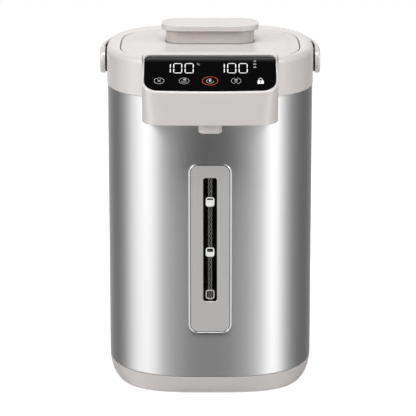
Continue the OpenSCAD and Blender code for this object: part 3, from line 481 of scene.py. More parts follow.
black_glass = plain("black_gloss_display", paint(4, 4, 5), 0.08, Coat_Weight=0.9)
chrome = plain("bright_chrome", paint(238, 238, 239), 0.12, 1.0)
white_ink = ink("white_print", paint(236, 236, 236), 0.16)
soft_ink = ink("soft_white_print", paint(170, 170, 170), 0.1)
# The level marks are printed, and their glow is painted light.
mark_ink_painted_glow = ink("pale_level_print_painted_glow", paint(214, 214, 211), 0.16)
ring_ink_painted_glow = ink("grey_level_print_painted_glow", paint(178, 178, 176), 0.07)
# The strands are no lamp; their glow is painted light.
strand_ink_painted_glow = ink("pale_strand_painted_glow", paint(226, 222, 218), 0.24, glow=(1, 0.98, 0.95, 1))
orange_ink = ink("orange_print", paint(176, 62, 16), 0.04, glow=(0.9, 0.14, 0.02, 1))
dark_ink = plain("dark_print", paint(24, 24, 25), 0.45)
clear_glass = plain("clear_glass", paint(245, 246, 245), 0.03, Transmission_Weight=1.0, IOR=1.3)
smoked_glass = plain("smoked_window", paint(180, 181, 181), 0.04, Transmission_Weight=1.0, IOR=1.2)
print("finishes:", len(bpy.data.materials) - cad_finishes)

# %% [markdown]
# ## Sleeve
# The body is one sheet of stainless steel rolled into a tube and brushed round and round. It is
# a thin ring of four walls. The openings for the level window and the power inlet are cut
# through it.

# %% Sleeve
sheet, sheet_edge = 0.8, 0.25
sleeve_low, sleeve_top = 18.06, 299.3
sleeve_profile = [(sheet_edge, sleeve_low), (0, 18.35), (0, 60), (0, 120), (0, 180), (0, 240), (0, 299.0),
                  (sheet_edge, sleeve_top), (sheet, sleeve_top), (sheet, sleeve_low)]
rings = [level_ring(body(i, fine_count), z) for i, z in sleeve_profile]
sleeve = skin("sleeve", rings, closed=True)

window_cx, window_cz, window_w, window_h, window_r = 0.0, 149.3, 42.2, 172.0, 9.5
rim_lap = 1.2
inlet_half, inlet_low, inlet_high = 17.3, 37.7, 66.3
hole = rounded_box(window_w - 2 * rim_lap, window_h - 2 * rim_lap, window_r - rim_lap, window_cx, window_cz)
window_cut = skin("cut", [upright_ring(hole, y) for y in (-125, -100)], place=upright)
inlet_cut = block("cut", -inlet_half, inlet_half, 100, 125, inlet_low, inlet_high)
carve(sleeve, [window_cut, inlet_cut])
soften(sleeve)
dress(sleeve, sleeve_steel, "pot", "brushed_sleeve", "outer_shell")

# %% [markdown]
# ## Base
# The base is a moulded ring that the sleeve stands in. From the seam down it draws in like a
# bowl, by 10 mm at the sides and 4 mm at the front, and its plan grows squarer. A fine groove
# shows where steel meets plastic. Four screws are reached from below.

# %% Base
base_side_in, base_front_in, foot_square = 10.0, 4.0, 3.5
base_low, bowl_h, bowl_steps = 1, base_seam - 1.7, 16
flange_in, flange_z = 14.0, 3.4


def base_plan(share, inset=0.0):
    return squircle(body_a - base_side_in * share, body_b - base_front_in * share,
                    body_n + (foot_square - body_n) * share, inset)


base_rings = stack(body, [(flange_in, flange_z), (flange_in, base_low)])
for step in range(bowl_steps + 1):
    t = math.radians(90 * step / bowl_steps)
    base_rings.append(level_ring(base_plan(1 - math.sin(t)), base_low + bowl_h * (1 - math.cos(t))))
groove = [(0.15, 17.45), (0.45, 17.5), (1.1, 17.5)]
spigot = [(1.1, 30.0), (3.5, 30.0), (3.5, 15.6)]
base_rings += stack(body, groove + spigot)
base_rings.append(level_ring(base_plan(0.5, 3.84), flange_z))
base = skin("base_ring", base_rings, closed=True)

_, high_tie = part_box("base_screws")
head_r, screw_hole_r = 3.6, 3.9
tie_x, tie_y = high_tie.x / MM - head_r, high_tie.y / MM - head_r
ties = [(sx * tie_x, sy * tie_y) for sx in (-1, 1) for sy in (-1, 1)]
carve(base, [rod("cut", screw_hole_r, -1, 3.3, at=p) for p in ties])
soften(base, even=False)
dress(base, base_grey, "pot", "grey_plastic", "base_housing")
print("screws at", round(tie_x, 2), round(tie_y, 2))

# %% [markdown]
# ## Collar
# The collar closes the top of the body. It has a wide rounded shoulder, a well that the lid
# drops into, a bay at the front for the console, and two ears at the back for the hinge. The
# well's rim is rounded by flaring the shape that cuts it.

# %% Collar shoulder and well
seam, proud = 0.8, 0.8
roll, edge_h, roll_steps = 9.0, 6.0, 14
collar_profile = [(-0.55, 299.55), (-proud, 299.8)]
for step in range(roll_steps + 1):
    t = math.radians(90 * step / roll_steps)
    collar_profile.append((roll * (1 - math.cos(t)) - proud, deck_z - edge_h * (1 - math.sin(t))))
collar = skin("collar", stack(body, collar_profile))
hollow_profile = [(1.8, 298), (1.8, 332), (4.2, 332), (4.2, 335.8)]
hollow = skin("cut", stack(body, hollow_profile))
carve(hollow, [prism("cut", lid(-seam - 2.4), 320, 340)])
carve(collar, [hollow])

lip_r, lip_z = 0.8, 337.2
well_profile = [(-seam, 322.4), (-seam, lip_z)]
well_profile += [(-seam - lip_r + x, lip_z + z) for x, z in arc(0, 0, lip_r, 0, 80, 4)]
well_profile.append((-seam - 0.9, 338.6))
well = skin("cut", stack(lid, well_profile))
print("collar:", len(collar_profile), "rings; well:", len(well_profile), "rings")

# %% Hinge ears, handle bosses and openings
hinge_y, hinge_z, barrel = 78.8, 338.0, 3.8
ear_half, pivot_z, pivot_r = 22.4, 318.0, 4.05
boss_r, boss_start, boss_end = 9.0, 103.0, 106.0
bay_half, bay_rear, mouth_r, pot_y = 66.3, -89.7, 70.3, -5
ears = rod("ears", barrel, -ear_half, ear_half, axis="X", at=(hinge_y, hinge_z))
seat = block("seat", -ear_half, ear_half, hinge_y - barrel, hinge_y + barrel + 3, hinge_z - barrel - 3, 336)
carve(collar, [ears, seat], "UNION")
bosses = [rod("boss", boss_r, s * boss_start, s * boss_end, axis="X", at=(0, pivot_z)) for s in (-1, 1)]
carve(collar, bosses, "UNION")
bay = block("cut", -bay_half, bay_half, -130, bay_rear, 301, 345)
mouth = rod("cut", mouth_r, 310, 330, at=(0, pot_y), steps=128)
notch = block("cut", -15.4, 15.4, 72, hinge_y + barrel + 0.4, hinge_z - barrel - 0.6, 345)
pivots = [rod("cut", pivot_r, s * 90, s * 110, axis="X", at=(0, pivot_z)) for s in (-1, 1)]
carve(collar, [well, bay, mouth, notch] + pivots)
soften(collar)
dress(collar, warm_grey, "pot", "grey_plastic", "collar")

# %% [markdown]
# ## Lid
# The lid lies almost flush in the collar. Its middle is crowned by less than a millimetre, which
# shows as a soft line inside the seam. The grip comes up through an opening, and steam leaves
# through a small grille behind it.

# %% Lid shell
edge_r, edge_z = 1.1, 336.9
grip_y, neck_half_w, neck_half_d, neck_corner = -4.2, 44.6, 24.4, 19.0
lid_profile = [(0.3, 325.0), (0, 325.3), (0, edge_z)]
lid_profile += [(edge_r + x, edge_z + z) for x, z in arc(0, 0, edge_r, 165, 90, 5)]
lid_profile += [(6.0, 338.02), (7.4, 338.2), (9.0, 338.6), (10.6, 338.78), (13.0, 338.8)]
lid_top = skin("lid_shell", stack(lid, lid_profile))


def neck_plan(out):
    return rounded_box(2 * (neck_half_w + out), 2 * (neck_half_d + out), neck_corner + out, 0, grip_y, 20)


tab_half, pin_hole_r = 15, 1.5
vent_half, latch_low, latch_high = 17, 327.4, 330.3
under = prism("cut", lid(2.4), 324, 335.8)
tab = block("tab", -tab_half, tab_half, 71, hinge_y, hinge_z - 3, hinge_z)
knuckle = rod("knuckle", barrel, -tab_half, tab_half, axis="X", at=(hinge_y, hinge_z))
carve(lid_top, [under])
carve(lid_top, [tab, knuckle], "UNION")
opening_profile = [(0.4, 324), (0.4, 338.5), (0.55, 338.75), (0.8, 338.9), (0.8, 345)]
opening = skin("cut", stack(neck_plan, opening_profile))
vent_hole = block("cut", -vent_half, vent_half, 44, 60, 330, 345)
latch_hole = block("cut", -12.4, 12.4, -95, -85, latch_low, latch_high)
pin_hole = rod("cut", pin_hole_r, -16, 16, axis="X", at=(hinge_y, hinge_z))
carve(lid_top, [opening, vent_hole, latch_hole, pin_hole])
soften(lid_top, 20, even=False)
dress(lid_top, pale_grey, "lid", "pale_plastic", "lid_shell")

# %% [markdown]
# ## Grip
# The grip is a flat oblong cap on a narrower neck. Fingers go under the cap's lip and pull it
# up by a few millimetres. The cap is slightly dished inside a fine, crisp rim. The neck ends in
# a foot below the lid, with a round pad for each spring.

# %% Grip cap
cap_w, cap_d, cap_corner, cap_low = 97.8, 57.4, 22.0, 352.2
lower_r, upper_r, upper_z = 0.5, 0.7, 356.9


def cap_plan(inset):
    return rounded_box(cap_w - 2 * inset, cap_d - 2 * inset, cap_corner - inset, 0, grip_y, 20)


cap_profile = [(3.0, cap_low), (0.9, cap_low)]
cap_profile += [(lower_r + x, cap_low + lower_r + z) for x, z in arc(0, 0, lower_r, 255, 180, 4)]
cap_profile += [(upper_r + x, upper_z + z) for x, z in arc(0, 0, upper_r, 180, 90, 6)]
cap_profile += [(1.6, 357.6), (2.6, 357.5), (4.2, 357.2), (6.5, 356.9), (10.0, 356.75), (16.0, 356.7)]
cap = skin("grip_cap", stack(cap_plan, cap_profile))
soften(cap, 50)
dress(cap, pale_grey, "grip", "pale_plastic", "grip_cap")

# %% Grip neck
neck_low, foot_top, inner = 327.7, 329.7, -2.5
neck_profile = [(0, neck_low), (0, 336.4), (-0.5, 336.8), (-0.5, 339.2), (0, 339.6), (0, cap_low),
                (inner, cap_low), (inner, neck_low)]
foot_profile = [(2.6, neck_low), (2.6, foot_top), (inner, foot_top), (inner, neck_low)]
neck = skin("grip_neck", stack(neck_plan, neck_profile), closed=True)
foot = skin("foot", stack(neck_plan, foot_profile), closed=True)
coil_low, coil_high = (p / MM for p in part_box("grip_springs"))
half_coil, pad_r, tail_half = 2.55, 3.4, 5.5
coil_x, coil_y = coil_high.x - half_coil, (coil_low.y + coil_high.y) / 2
pads = [rod("pad", pad_r, neck_low, foot_top, at=(s * coil_x, coil_y), steps=32) for s in (-1, 1)]
carve(neck, [foot] + pads, "UNION")
carve(neck, [block("cut", -tail_half, tail_half, -50, -22.4, 326, 330.5)])
soften(neck)
# The neck's darker grey is painted shade under the cap.
dress(neck, neck_grey_painted_shade, "grip", "grey_plastic", "grip_neck")

# %% [markdown]
# ## Return springs
# Two short coils stand on the foot of the neck and push the grip down again. Their upper ends
# stay against the lid.

# %% Return springs
coil_r, wire_r, coil_turns, turn_steps = 2.1, 0.35, 5, 14
coil_steps = coil_turns * turn_steps


def wire_ring(step, side):
    turn = 2 * math.pi * step / turn_steps
    z = coil_low.z + wire_r + (coil_high.z - coil_low.z - 2 * wire_r) * step / coil_steps
    spokes = [math.radians(60 * k) for k in range(6)]
    section = [(coil_r + wire_r * math.cos(a), z + wire_r * math.sin(a)) for a in spokes]
    return [(side * coil_x + r * math.cos(turn), coil_y + r * math.sin(turn), h) for r, h in section]


coils = [skin("coil", [wire_ring(i, s) for i in range(coil_steps + 1)]) for s in (-1, 1)]
springs = carve(coils[0], coils[1:], "UNION")
springs.name = "return_springs"
soften(springs, 60)
dress(springs, bright_steel, "lid", "bright_steel", "grip_springs")
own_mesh(springs)

# %% [markdown]
# ## Console
# The console is the big moulded head over the spout. Its front is slightly bowed, its upright
# corners open out towards the bottom, and its top slopes forward and carries the display inside
# a narrow rim. Each ring of the skin is the same outline with its own corner radius, and the
# last rings lean over with the slope.

# %% Console outline
slope = math.radians(29.6)
head_top, slope_start = 338.9, -91.0
head_half, head_front, head_rear, head_low = 66.0, -142.2, -90.0, 277.5
bow_r, bow_share = 1500.0, 0.96
side_steps, rear_steps = 6, 8


def slope_z(y):
    return min(head_top, head_top - (slope_start - y) * math.tan(slope))


def console(inset, corner):
    bow_y = head_front + bow_r
    x = head_half - corner
    corner_y = bow_y - math.sqrt((bow_r - corner) ** 2 - x ** 2)
    half = math.degrees(math.asin(x / (bow_r - corner)))
    side_x, rear_y = head_half - inset, head_rear - inset
    side = [rear_y + (corner_y - head_rear + inset) * i / side_steps for i in range(side_steps)]
    ring = [(-side_x, y) for y in side]
    ring += arc(-x, corner_y, corner - inset, 180, 270 - half, 12)
    ring += arc(0, bow_y, bow_r - inset, 270 - half * bow_share, 270 + half * bow_share, 16)
    ring += arc(x, corner_y, corner - inset, 270 + half, 360, 12)
    ring += [(side_x, y) for y in reversed(side)]
    ring += [(side_x - (2 * head_half - 2 * inset) * i / rear_steps, rear_y) for i in range(1, rear_steps)]
    return ring


print("slope", round(math.degrees(slope), 1), "degrees; front edge at", round(slope_z(head_front), 1), "mm")


# %% Console skin
corner_top, corner_low, foot_r, lip, levels = 15.5, 24.0, 1.0, 1.2, 9
rings = [level_ring(console(foot_r + x, corner_low), head_low + foot_r + z)
         for x, z in arc(0, 0, foot_r, 270, 180, 5)]
for i in range(1, levels + 1):
    t = i / levels
    ring = console(0, corner_low + (corner_top - corner_low) * t)
    rings.append([(x, y, head_low + foot_r + (slope_z(y) - lip - head_low - foot_r) * t) for x, y in ring])
for dx, dz in arc(0, 0, lip, 180, 90, 6)[1:]:
    rings.append([(x, y, slope_z(y) - lip + dz) for x, y in console(lip + dx, corner_top)])
head = skin("console", rings)
print("console:", len(rings), "rings")

# %% Console hollow, floor and pocket
inside = [level_ring(console(2.5, corner_low), z) for z in (head_low - 2, head_low + 8)]
inside.append([(x, y, slope_z(y) - 4.2) for x, y in console(2.6, corner_low)])
room = skin("cut", inside)
carve(room, [prism("cut", body(-2.7), 250, 303)])
carve(head, [room])
carve(head, [prism("cut", body(-0.3), 250, 301)])
on_slope = Matrix.Translation((0, slope_start, head_top)) @ Matrix.Rotation(slope, 4, "X")
rim_width, display_corner, display_top, front_limit = 2.0, 5.5, -1.3, -20
tube_y, tube_hole_r, neck_hole_r = -108.5, 5.9, 93.3


def display(inset):
    front = [(x, (y - slope_start) / math.cos(slope)) for x, y in console(rim_width + inset, corner_top)]
    front = [p for p in front if p[1] < front_limit]
    r = display_corner - inset
    x, y = head_half - rim_width - display_corner, display_top - display_corner
    return arc(x, y, r, 0, 90, 8) + arc(-x, y, r, 90, 180, 8) + front


pocket = prism("cut", display(-0.12), -2.1, 6, place=on_slope)
shaft = prism("cut", display(2.6), -9, 6, place=on_slope)
tube_hole = rod("cut", tube_hole_r, 300, 304, at=(0, tube_y))
neck_hole = rod("cut", neck_hole_r, 300, 304.3, at=(0, pot_y), steps=160)
latch_hole = block("cut", -12.6, 12.6, -92, -85, latch_low, latch_high)
carve(head, [pocket, shaft, tube_hole, neck_hole, latch_hole])
soften(head)
dress(head, warm_grey, "pot", "grey_plastic", "head_housing")

# %% [markdown]
# ## Display
# The display is a black glossy plate that lies a little below the rim, and its rear edge rolls
# down, so that it catches the room. Figures, small icons and bars are printed or lit in it. They
# are thin shapes laid a few hundredths of a millimetre above the plate, so that they stay sharp
# from near by.

# %% Display plate
plate_profile = [(0.0, -2.05), (0.0, -0.55), (0.08, -0.38), (0.3, -0.3)]
glass_plate = skin("display_plate", stack(display, plate_profile))
roll_start, roll_end, roll_cuts, roll_drop, back_face = -12.3, display_top, 16, 1.45, -1.5
bm = bmesh.new()
bm.from_mesh(glass_plate.data)
for cut in range(roll_cuts):
    level = (roll_start + (roll_end - roll_start) * cut / roll_cuts) * MM
    bmesh.ops.bisect_plane(bm, geom=bm.verts[:] + bm.edges[:] + bm.faces[:],
                           plane_co=(0, level, 0), plane_no=(0, 1, 0))
for vert in bm.verts:
    share = (vert.co.y / MM - roll_start) / (roll_end - roll_start)
    if share > 0 and vert.co.z > back_face * MM:
        vert.co.z -= roll_drop * MM * share ** 2
metres_on_slope = on_slope.copy()
metres_on_slope.translation *= MM
bmesh.ops.transform(bm, matrix=metres_on_slope, verts=bm.verts)
bm.to_mesh(glass_plate.data)
bm.free()
soften(glass_plate)
dress(glass_plate, black_glass, "pot", "black_gloss", "display_window")

# %% Helpers for printed marks
ink_t, print_z = 0.05, -0.28


def flat_mesh(name, outlines, z, place):
    bm = bmesh.new()
    for outline in outlines:
        low = [bm.verts.new((place @ Vector((x, y, z))) * MM) for x, y in outline]
        high = [bm.verts.new((place @ Vector((x, y, z + ink_t))) * MM) for x, y in outline]
        bm.faces.new(high)
        add_band(bm, low, high)
    bmesh.ops.recalc_face_normals(bm, faces=bm.faces)
    return add_piece(name, bm)


def bar(x0, y0, x1, y1, w):
    dx, dy = x1 - x0, y1 - y0
    n = math.hypot(dx, dy)
    ox, oy = -dy / n * w / 2, dx / n * w / 2
    return [(x0 + ox, y0 + oy), (x0 - ox, y0 - oy), (x1 - ox, y1 - oy), (x1 + ox, y1 + oy)]


def ring_strip(cx, cy, rx, ry, w, start=0, end=360, steps=40):
    out = []
    for i in range(steps):
        a = [math.radians(start + (end - start) * (i + d) / steps) for d in (0, 1)]
        out.append([(cx + (rx + s * w / 2) * math.cos(t), cy + (ry + s * w / 2) * math.sin(t))
                    for t, s in ((a[0], -1), (a[1], -1), (a[1], 1), (a[0], 1))])
    return out


def segment_bar(cx, cy, length, width, standing):
    h, w = length / 2, width / 2
    pts = [(-h, 0), (-h + w, -w), (h - w, -w), (h, 0), (h - w, w), (-h + w, w)]
    return [(cx - y, cy + x) if standing else (cx + x, cy + y) for x, y in pts]


# %% Lit figures
# Bars: a top, b upper right, c lower right, d bottom, e lower left, f upper left
figures = {"0": "abcdef", "1": "bc"}
figure_w, figure_h, bar_t, bar_gap = 8.7, 15.2, 0.9, 1.2
figure_pitch, figure_y, number_centres = 11.1, -21.3, (-31.4, 21.0)


def figure(cx, cy, char):
    side, high = figure_w / 2 - bar_t / 2, figure_h / 2 - bar_t / 2
    spots = {"a": (0, high, False), "b": (side, high / 2, True), "c": (side, -high / 2, True),
             "d": (0, -high, False), "e": (-side, -high / 2, True), "f": (-side, high / 2, True)}
    out = []
    for x, y, standing in (spots[key] for key in figures[char]):
        length = (figure_h / 2 if standing else figure_w) - bar_t / 2 - bar_gap
        out.append(segment_bar(cx + x, cy + y, length, bar_t, standing))
    return out


lit = []
for centre_x in number_centres:
    for i, char in enumerate("100"):
        lit += figure(centre_x + (i - 1) * figure_pitch, figure_y, char)
dress(flat_mesh("lit_figures", lit, print_z, on_slope), white_ink, "pot", "black_gloss")

# %% Icons of the touch keys
cancel_x, boil_x, pour_x, heat_x, lock_x, icon_y = -49.2, -25.1, 0.0, 25.1, 48.8, -40.5
line, thin = 0.42, 0.36
marks = ring_strip(cancel_x, icon_y, 4.8, 4.4, line)
marks += [bar(cancel_x - side, icon_y + 1.9, cancel_x + side, icon_y - 1.9, line) for side in (-1.6, 1.6)]
marks += ring_strip(boil_x, icon_y, 4.8, 4.6, thin, 50, 400)
marks += ring_strip(boil_x + 0.6, icon_y + 2.1, 1.0, 0.9, 0.9, steps=16)
marks += [bar(boil_x - half, icon_y - drop, boil_x + half, icon_y - drop, thin)
          for half, drop in ((3.0, 0.6), (2.4, 2.2))]
marks += ring_strip(pour_x, icon_y - 0.2, 3.5, 3.4, thin, 60, 360)
drop_shape = [(0, 3.2), (-1.2, 0.2), (-1.0, -0.9), (0, -1.6), (1.0, -0.9), (1.2, 0.2)]
marks.append([(pour_x + x, icon_y + y) for x, y in drop_shape])
for start, end in ((-75, 75), (105, 255)):
    marks += ring_strip(heat_x, icon_y, 4.6, 4.6, thin, start, end)
marks += [bar(heat_x - 1.5, icon_y + y, heat_x + reach, icon_y + y, t)
          for y, reach, t in ((2.4, 1.5, 1.0), (0.2, 1.3, 0.7), (-1.8, 1.3, 0.7))]
dress(flat_mesh("touch_icons", marks, print_z, on_slope), soft_ink, "pot", "black_gloss")

# %% Padlock, dispense ring and small indicators
padlock = [rounded_box(6.0, 4.6, 0.5, lock_x, icon_y - 2.0, 3)]
padlock += ring_strip(lock_x, icon_y + 0.4, 1.9, 3.8, 0.55, 0, 180, 20)
keyhole = [arc(lock_x, icon_y - 1.5, 0.8, 0, 345, 16), bar(lock_x, icon_y - 1.8, lock_x, icon_y - 3.4, 0.7)]
halo = ring_strip(pour_x, icon_y, 7.5, 6.3, 0.6, steps=64)
state_x, degree_x = 43.4, -11.4
small = ring_strip(state_x, -10.6, 1.2, 0.9, 0.4, steps=20)
small += ring_strip(state_x, -15.2, 1.3, 0.9, 0.4, steps=20)
small += [bar(state_x - 1.4, -19.8, state_x + 1.4, -19.8, 1.2)]
small += ring_strip(degree_x - 0.9, -14.6, 0.45, 0.45, 0.3, steps=16)
small += ring_strip(degree_x + 0.8, -15.6, 0.8, 0.9, 0.35, 50, 310, 16)
for name, shapes, z, finish in (
        ("lock_icon", padlock, print_z, white_ink), ("lock_keyhole", keyhole, print_z + 0.06, dark_ink),
        ("dispense_ring", halo, print_z, orange_ink), ("small_indicators", small, print_z, soft_ink)):
    dress(flat_mesh(name, shapes, z, on_slope), finish, "pot", "black_gloss")

# %% [markdown]
# ## Level window
# A chrome rim frames a satin silver plate, with a thin dark ring between them: painted shade
# that darkens the groove between rim and plate. A slot in the plate shows the sight tube in its dark
# trough. Rim, dark ring and plate are each one profile swept round a rounded rectangle.

# %% Window rim, painted-shade ring and plate
def framed(name, profile, closed=True):
    rings = []
    for i, y in profile:
        outline = rounded_box(window_w - 2 * i, window_h - 2 * i, window_r - i, window_cx, window_cz, 12)
        rings.append(upright_ring(outline, y))
    return skin(name, rings, closed=closed, place=upright)


bead_r, bead_y, behind = 0.7, -118.4, -116.0
rim_profile = [(0.0, -116.6)] + [(bead_r - x, bead_y - y) for x, y in arc(0, 0, bead_r, 0, 180, 10)]
window_rim = framed("window_rim", rim_profile + [(1.4, behind), (0.6, behind)])
soften(window_rim, 60)
dress(window_rim, chrome, "pot", "chrome_rim", "level_frame")
# A thin matt black ring in the groove between rim and plate: painted shade.
shade_ring_in, shade_ring_out, shade_ring_y = 2.14, 1.38, -118.5
shade_ring_profile = [(shade_ring_out, behind), (shade_ring_out, shade_ring_y), (shade_ring_in, shade_ring_y), (shade_ring_in, behind)]
window_shade_ring = framed("window_shade_ring", shade_ring_profile)
soften(window_shade_ring)
dress(window_shade_ring, matt_black, "pot", "black_matt")

silver = framed("window_plate", [(2.0, behind), (2.0, -118.6), (2.15, -118.72)], closed=False)
slot_cz, slot_w, slot_h, slot_r = 158.5, 13.8, 125.0, 2.4
slot = [upright_ring(rounded_box(slot_w + 2 * d, slot_h + 2 * d, slot_r + d, 0, slot_cz), y)
        for d, y in [(0.35, -119.5), (0.35, -118.7), (0.0, -118.35), (0.0, -115)]]
carve(silver, [skin("cut", slot, place=upright)])
soften(silver)
dress(silver, plate_silver, "pot", "satin_grey", "level_plate")

# %% Clear window over the slot
pane_outline = rounded_box(13.6, slot_h - 0.2, 2.3, 0, slot_cz)
pane = skin("slot_window", [upright_ring(pane_outline, y) for y in (-117.2, -118.1)], place=upright)
soften(pane)
dress(pane, smoked_glass, "pot", "smoked_window", "level_lens")

# %% [markdown]
# ## Inside the sight tube
# Pale strands twist round a dark core. Each strand is a thin round section that climbs a helix,
# and they share one mesh. The strands glow a little, which is painted light, and the dark core is
# painted shade between them.

# %% Twisted strands and their core
strand_r, helix_r, strands, pitch = 0.42, 1.7, 5, 24.0
low_z, high_z, climb_steps = 92.0, 225.0, 180


def helix_ring(i, start):
    z = low_z + (high_z - low_z) * i / climb_steps
    turn = 2 * math.pi * z / pitch + start
    centre = helix_r * math.cos(turn), tube_y + helix_r * math.sin(turn)
    return level_ring(circle(strand_r, 6, *centre), z)


rope = bmesh.new()
for strand in range(strands):
    start = 2 * math.pi * strand / strands
    piece = skin("strand", [helix_ring(i, start) for i in range(climb_steps + 1)])
    rope.from_mesh(piece.data)
    bpy.data.objects.remove(piece)
twist = add_piece("tube_twist", rope)
soften(twist, 60)
dress(twist, strand_ink_painted_glow, "pot", "satin_grey")
# The dark core is painted shade in the grooves between the strands.
painted_shade_core_profile = [(0.5, low_z), (1.1, low_z + 0.25), (1.35, low_z + 0.85),
                (1.35, high_z - 0.85), (1.1, high_z - 0.25), (0.5, high_z)]
painted_shade_core = skin("tube_core_painted_shade", [level_ring(arc(0, tube_y, r, 0, 345, 23), z) for r, z in painted_shade_core_profile])
soften(painted_shade_core)
dress(painted_shade_core, matt_black, "pot", "black_matt")

# %% Level marks
mark_y, mark_w, mark_h, mark_r = 118.12, 8.5, 9.3, 2.3
face = upright.to_4x4() @ Matrix.Diagonal((1, 1, -1, 1))
full_z, half_z, low_mark_z = 197.0, 146.3, 103.3


def mark_outline(cz):
    return rounded_box(mark_w, mark_h, mark_r, 0, cz, 5)


gaps = [rounded_box(2.3, 1.7, 0.7, x, full_z + 2.7, 4) for x in (-1.9, 0, 1.9)]
gaps.append(rounded_box(6.0, 3.3, 0.9, 0, half_z + 1.9, 4))
outer, inner_edge = mark_outline(low_mark_z), rounded_box(6.6, 7.4, 1.5, 0, low_mark_z, 5)
pairs = list(zip(outer, inner_edge))
low_ring = [[a, b, d, c] for (a, c), (b, d) in zip(pairs, pairs[1:] + pairs[:1])]
for name, shapes, y, finish in (
        ("level_marks", [mark_outline(full_z), mark_outline(half_z)], mark_y, mark_ink_painted_glow),
        ("level_mark_low", low_ring, mark_y, ring_ink_painted_glow),
        ("level_mark_gaps", gaps, mark_y + 0.06, dark_ink)):
    dress(flat_mesh(name, shapes, y, face), finish, "pot", "smoked_window")

# %% [markdown]
# ## Spout
# The nozzle under the console is an oblong tube with a rounded lower edge and a bore for the
# water.

# %% Spout
spout_y, spout_half, spout_r, spout_low, spout_edge = -130.5, 3.8, 7.6, 268.7, 1.6


def stadium(extra):
    r, x = spout_r + extra, spout_half
    return arc(x, spout_y, r, -90, 90, 20) + arc(-x, spout_y, r, 90, 270, 20)


spout_rings = []
for turn in (10, 30, 50, 70, 90):
    c, s = math.cos(math.radians(turn)), math.sin(math.radians(turn))
    edge = stadium(-spout_edge + spout_edge * s)
    spout_rings.append(level_ring(edge, spout_low + spout_edge - spout_edge * c))
spout_rings += stack(stadium, [(0, 280.0), (1.0, 280.0), (1.0, 281.6)])
spout = skin("spout_nozzle", spout_rings)
axis = (0, spout_y)
stub_r, bore_r, pipe_r = 3.0, 4.5, 2.0
carve(spout, [rod("stub", stub_r, 281, 289, at=axis)], "UNION")
carve(spout, [rod("cut", bore_r, 260, 279, at=axis), rod("cut", pipe_r, 270, 292, at=axis)])
soften(spout)
dress(spout, spout_grey, "pot", "pale_plastic", "spout_nozzle")

# %% [markdown]
# ## Bail handle
# The handle is a flat bow that runs round the back of the collar, with a round lug at each
# pivot. One rounded section is swept round the body's outline, and the lugs are joined to it. A
# dark strip on the arm's inner face and a dark washer round each pivot boss are painted shade:
# they darken the gap between the handle and the collar.

# %% Handle
arm_near, arm_far, arm_low, arm_top, arm_r, arm_steps = 2.8, 8.0, 314.0, 331.5, 2.2, 120


def sweep(section):
    outlines = {}
    for d in {round(p[0], 6) for p in section}:
        outlines[d] = squircle(body_a, body_b, body_n, -d, 2 * arm_steps)
    return [[(*outlines[round(p[0], 6)][k], p[1]) for p in section] for k in range(arm_steps + 1)]


near_x, far_x, low_cz, top_cz = arm_near + arm_r, arm_far - arm_r, arm_low + arm_r, arm_top - arm_r
arm_section = (arc(near_x, low_cz, arm_r, 180, 270, 5) + arc(far_x, low_cz, arm_r, 270, 360, 5)
               + arc(far_x, top_cz, arm_r, 0, 90, 5) + arc(near_x, top_cz, arm_r, 90, 180, 5))
handle = skin("bail_handle", sweep(arm_section))
lug_profile = [(12.6, 106.3), (12.9, 106.45), (13.0, 106.8), (13.0, 109.2), (12.8, 110.3), (12.1, 111.15),
               (10.9, 111.5)]
lug_rings = [level_ring(circle(r, 72, 0, pivot_z), x) for r, x in lug_profile]
carve(handle, [skin("lug", lug_rings, place=lay_along_x(side)) for side in (-1, 1)], "UNION")
carve(handle, [rod("cut", pivot_r, s * 100, s * 120, axis="X", at=(0, pivot_z)) for s in (-1, 1)])
soften(handle, 40)
dress(handle, warm_grey, "bail", "grey_plastic", "handle")

# %% Liner and washers, painted shade
shade_liner_proud, shade_liner_sunk = 0.12, -0.5
clear_of_lug = 10.0


def shade_liner_edge(out):
    return arc(near_x, top_cz, arm_r + out, 128, 180, 4) + arc(near_x, low_cz, arm_r + out, 180, 232, 4)


# The dark strip along the arm's inner face is painted shade in the gap beside the collar.
shade_liner_rows = sweep(shade_liner_edge(shade_liner_proud) + shade_liner_edge(shade_liner_sunk)[::-1])
shade_liner = skin("handle_shade_liner", [row for row in shade_liner_rows if row[0][1] > clear_of_lug])
soften(shade_liner)
dress(shade_liner, matt_black, "bail", "black_matt")
# The dark washers fill the gap between boss and lug with painted shade.
shade_washer_in, shade_washer_out, shade_washer_near, shade_washer_far = boss_r + 0.05, 11.3, 104.36, 106.24
shade_washer_profile = [(shade_washer_in, shade_washer_near), (shade_washer_out, shade_washer_near), (shade_washer_out, shade_washer_far),
                  (shade_washer_in, shade_washer_far)]
shade_washer_rings = [level_ring(circle(r, 64, 0, pivot_z), x) for r, x in shade_washer_profile]
for side, side_name in ((-1, "left"), (1, "right")):
    shade_washer = skin("pivot_shade_washer_" + side_name, shade_washer_rings, closed=True, place=lay_along_x(side))
    soften(shade_washer)
    dress(shade_washer, matt_black, "pot", "black_matt")

# %% [markdown]
# ## Parts that keep their own shape
# The parts inside, and the small ones outside, are right as they come from the frame. Some get a
# fine bevel, and all get crisp edges and their own finish.

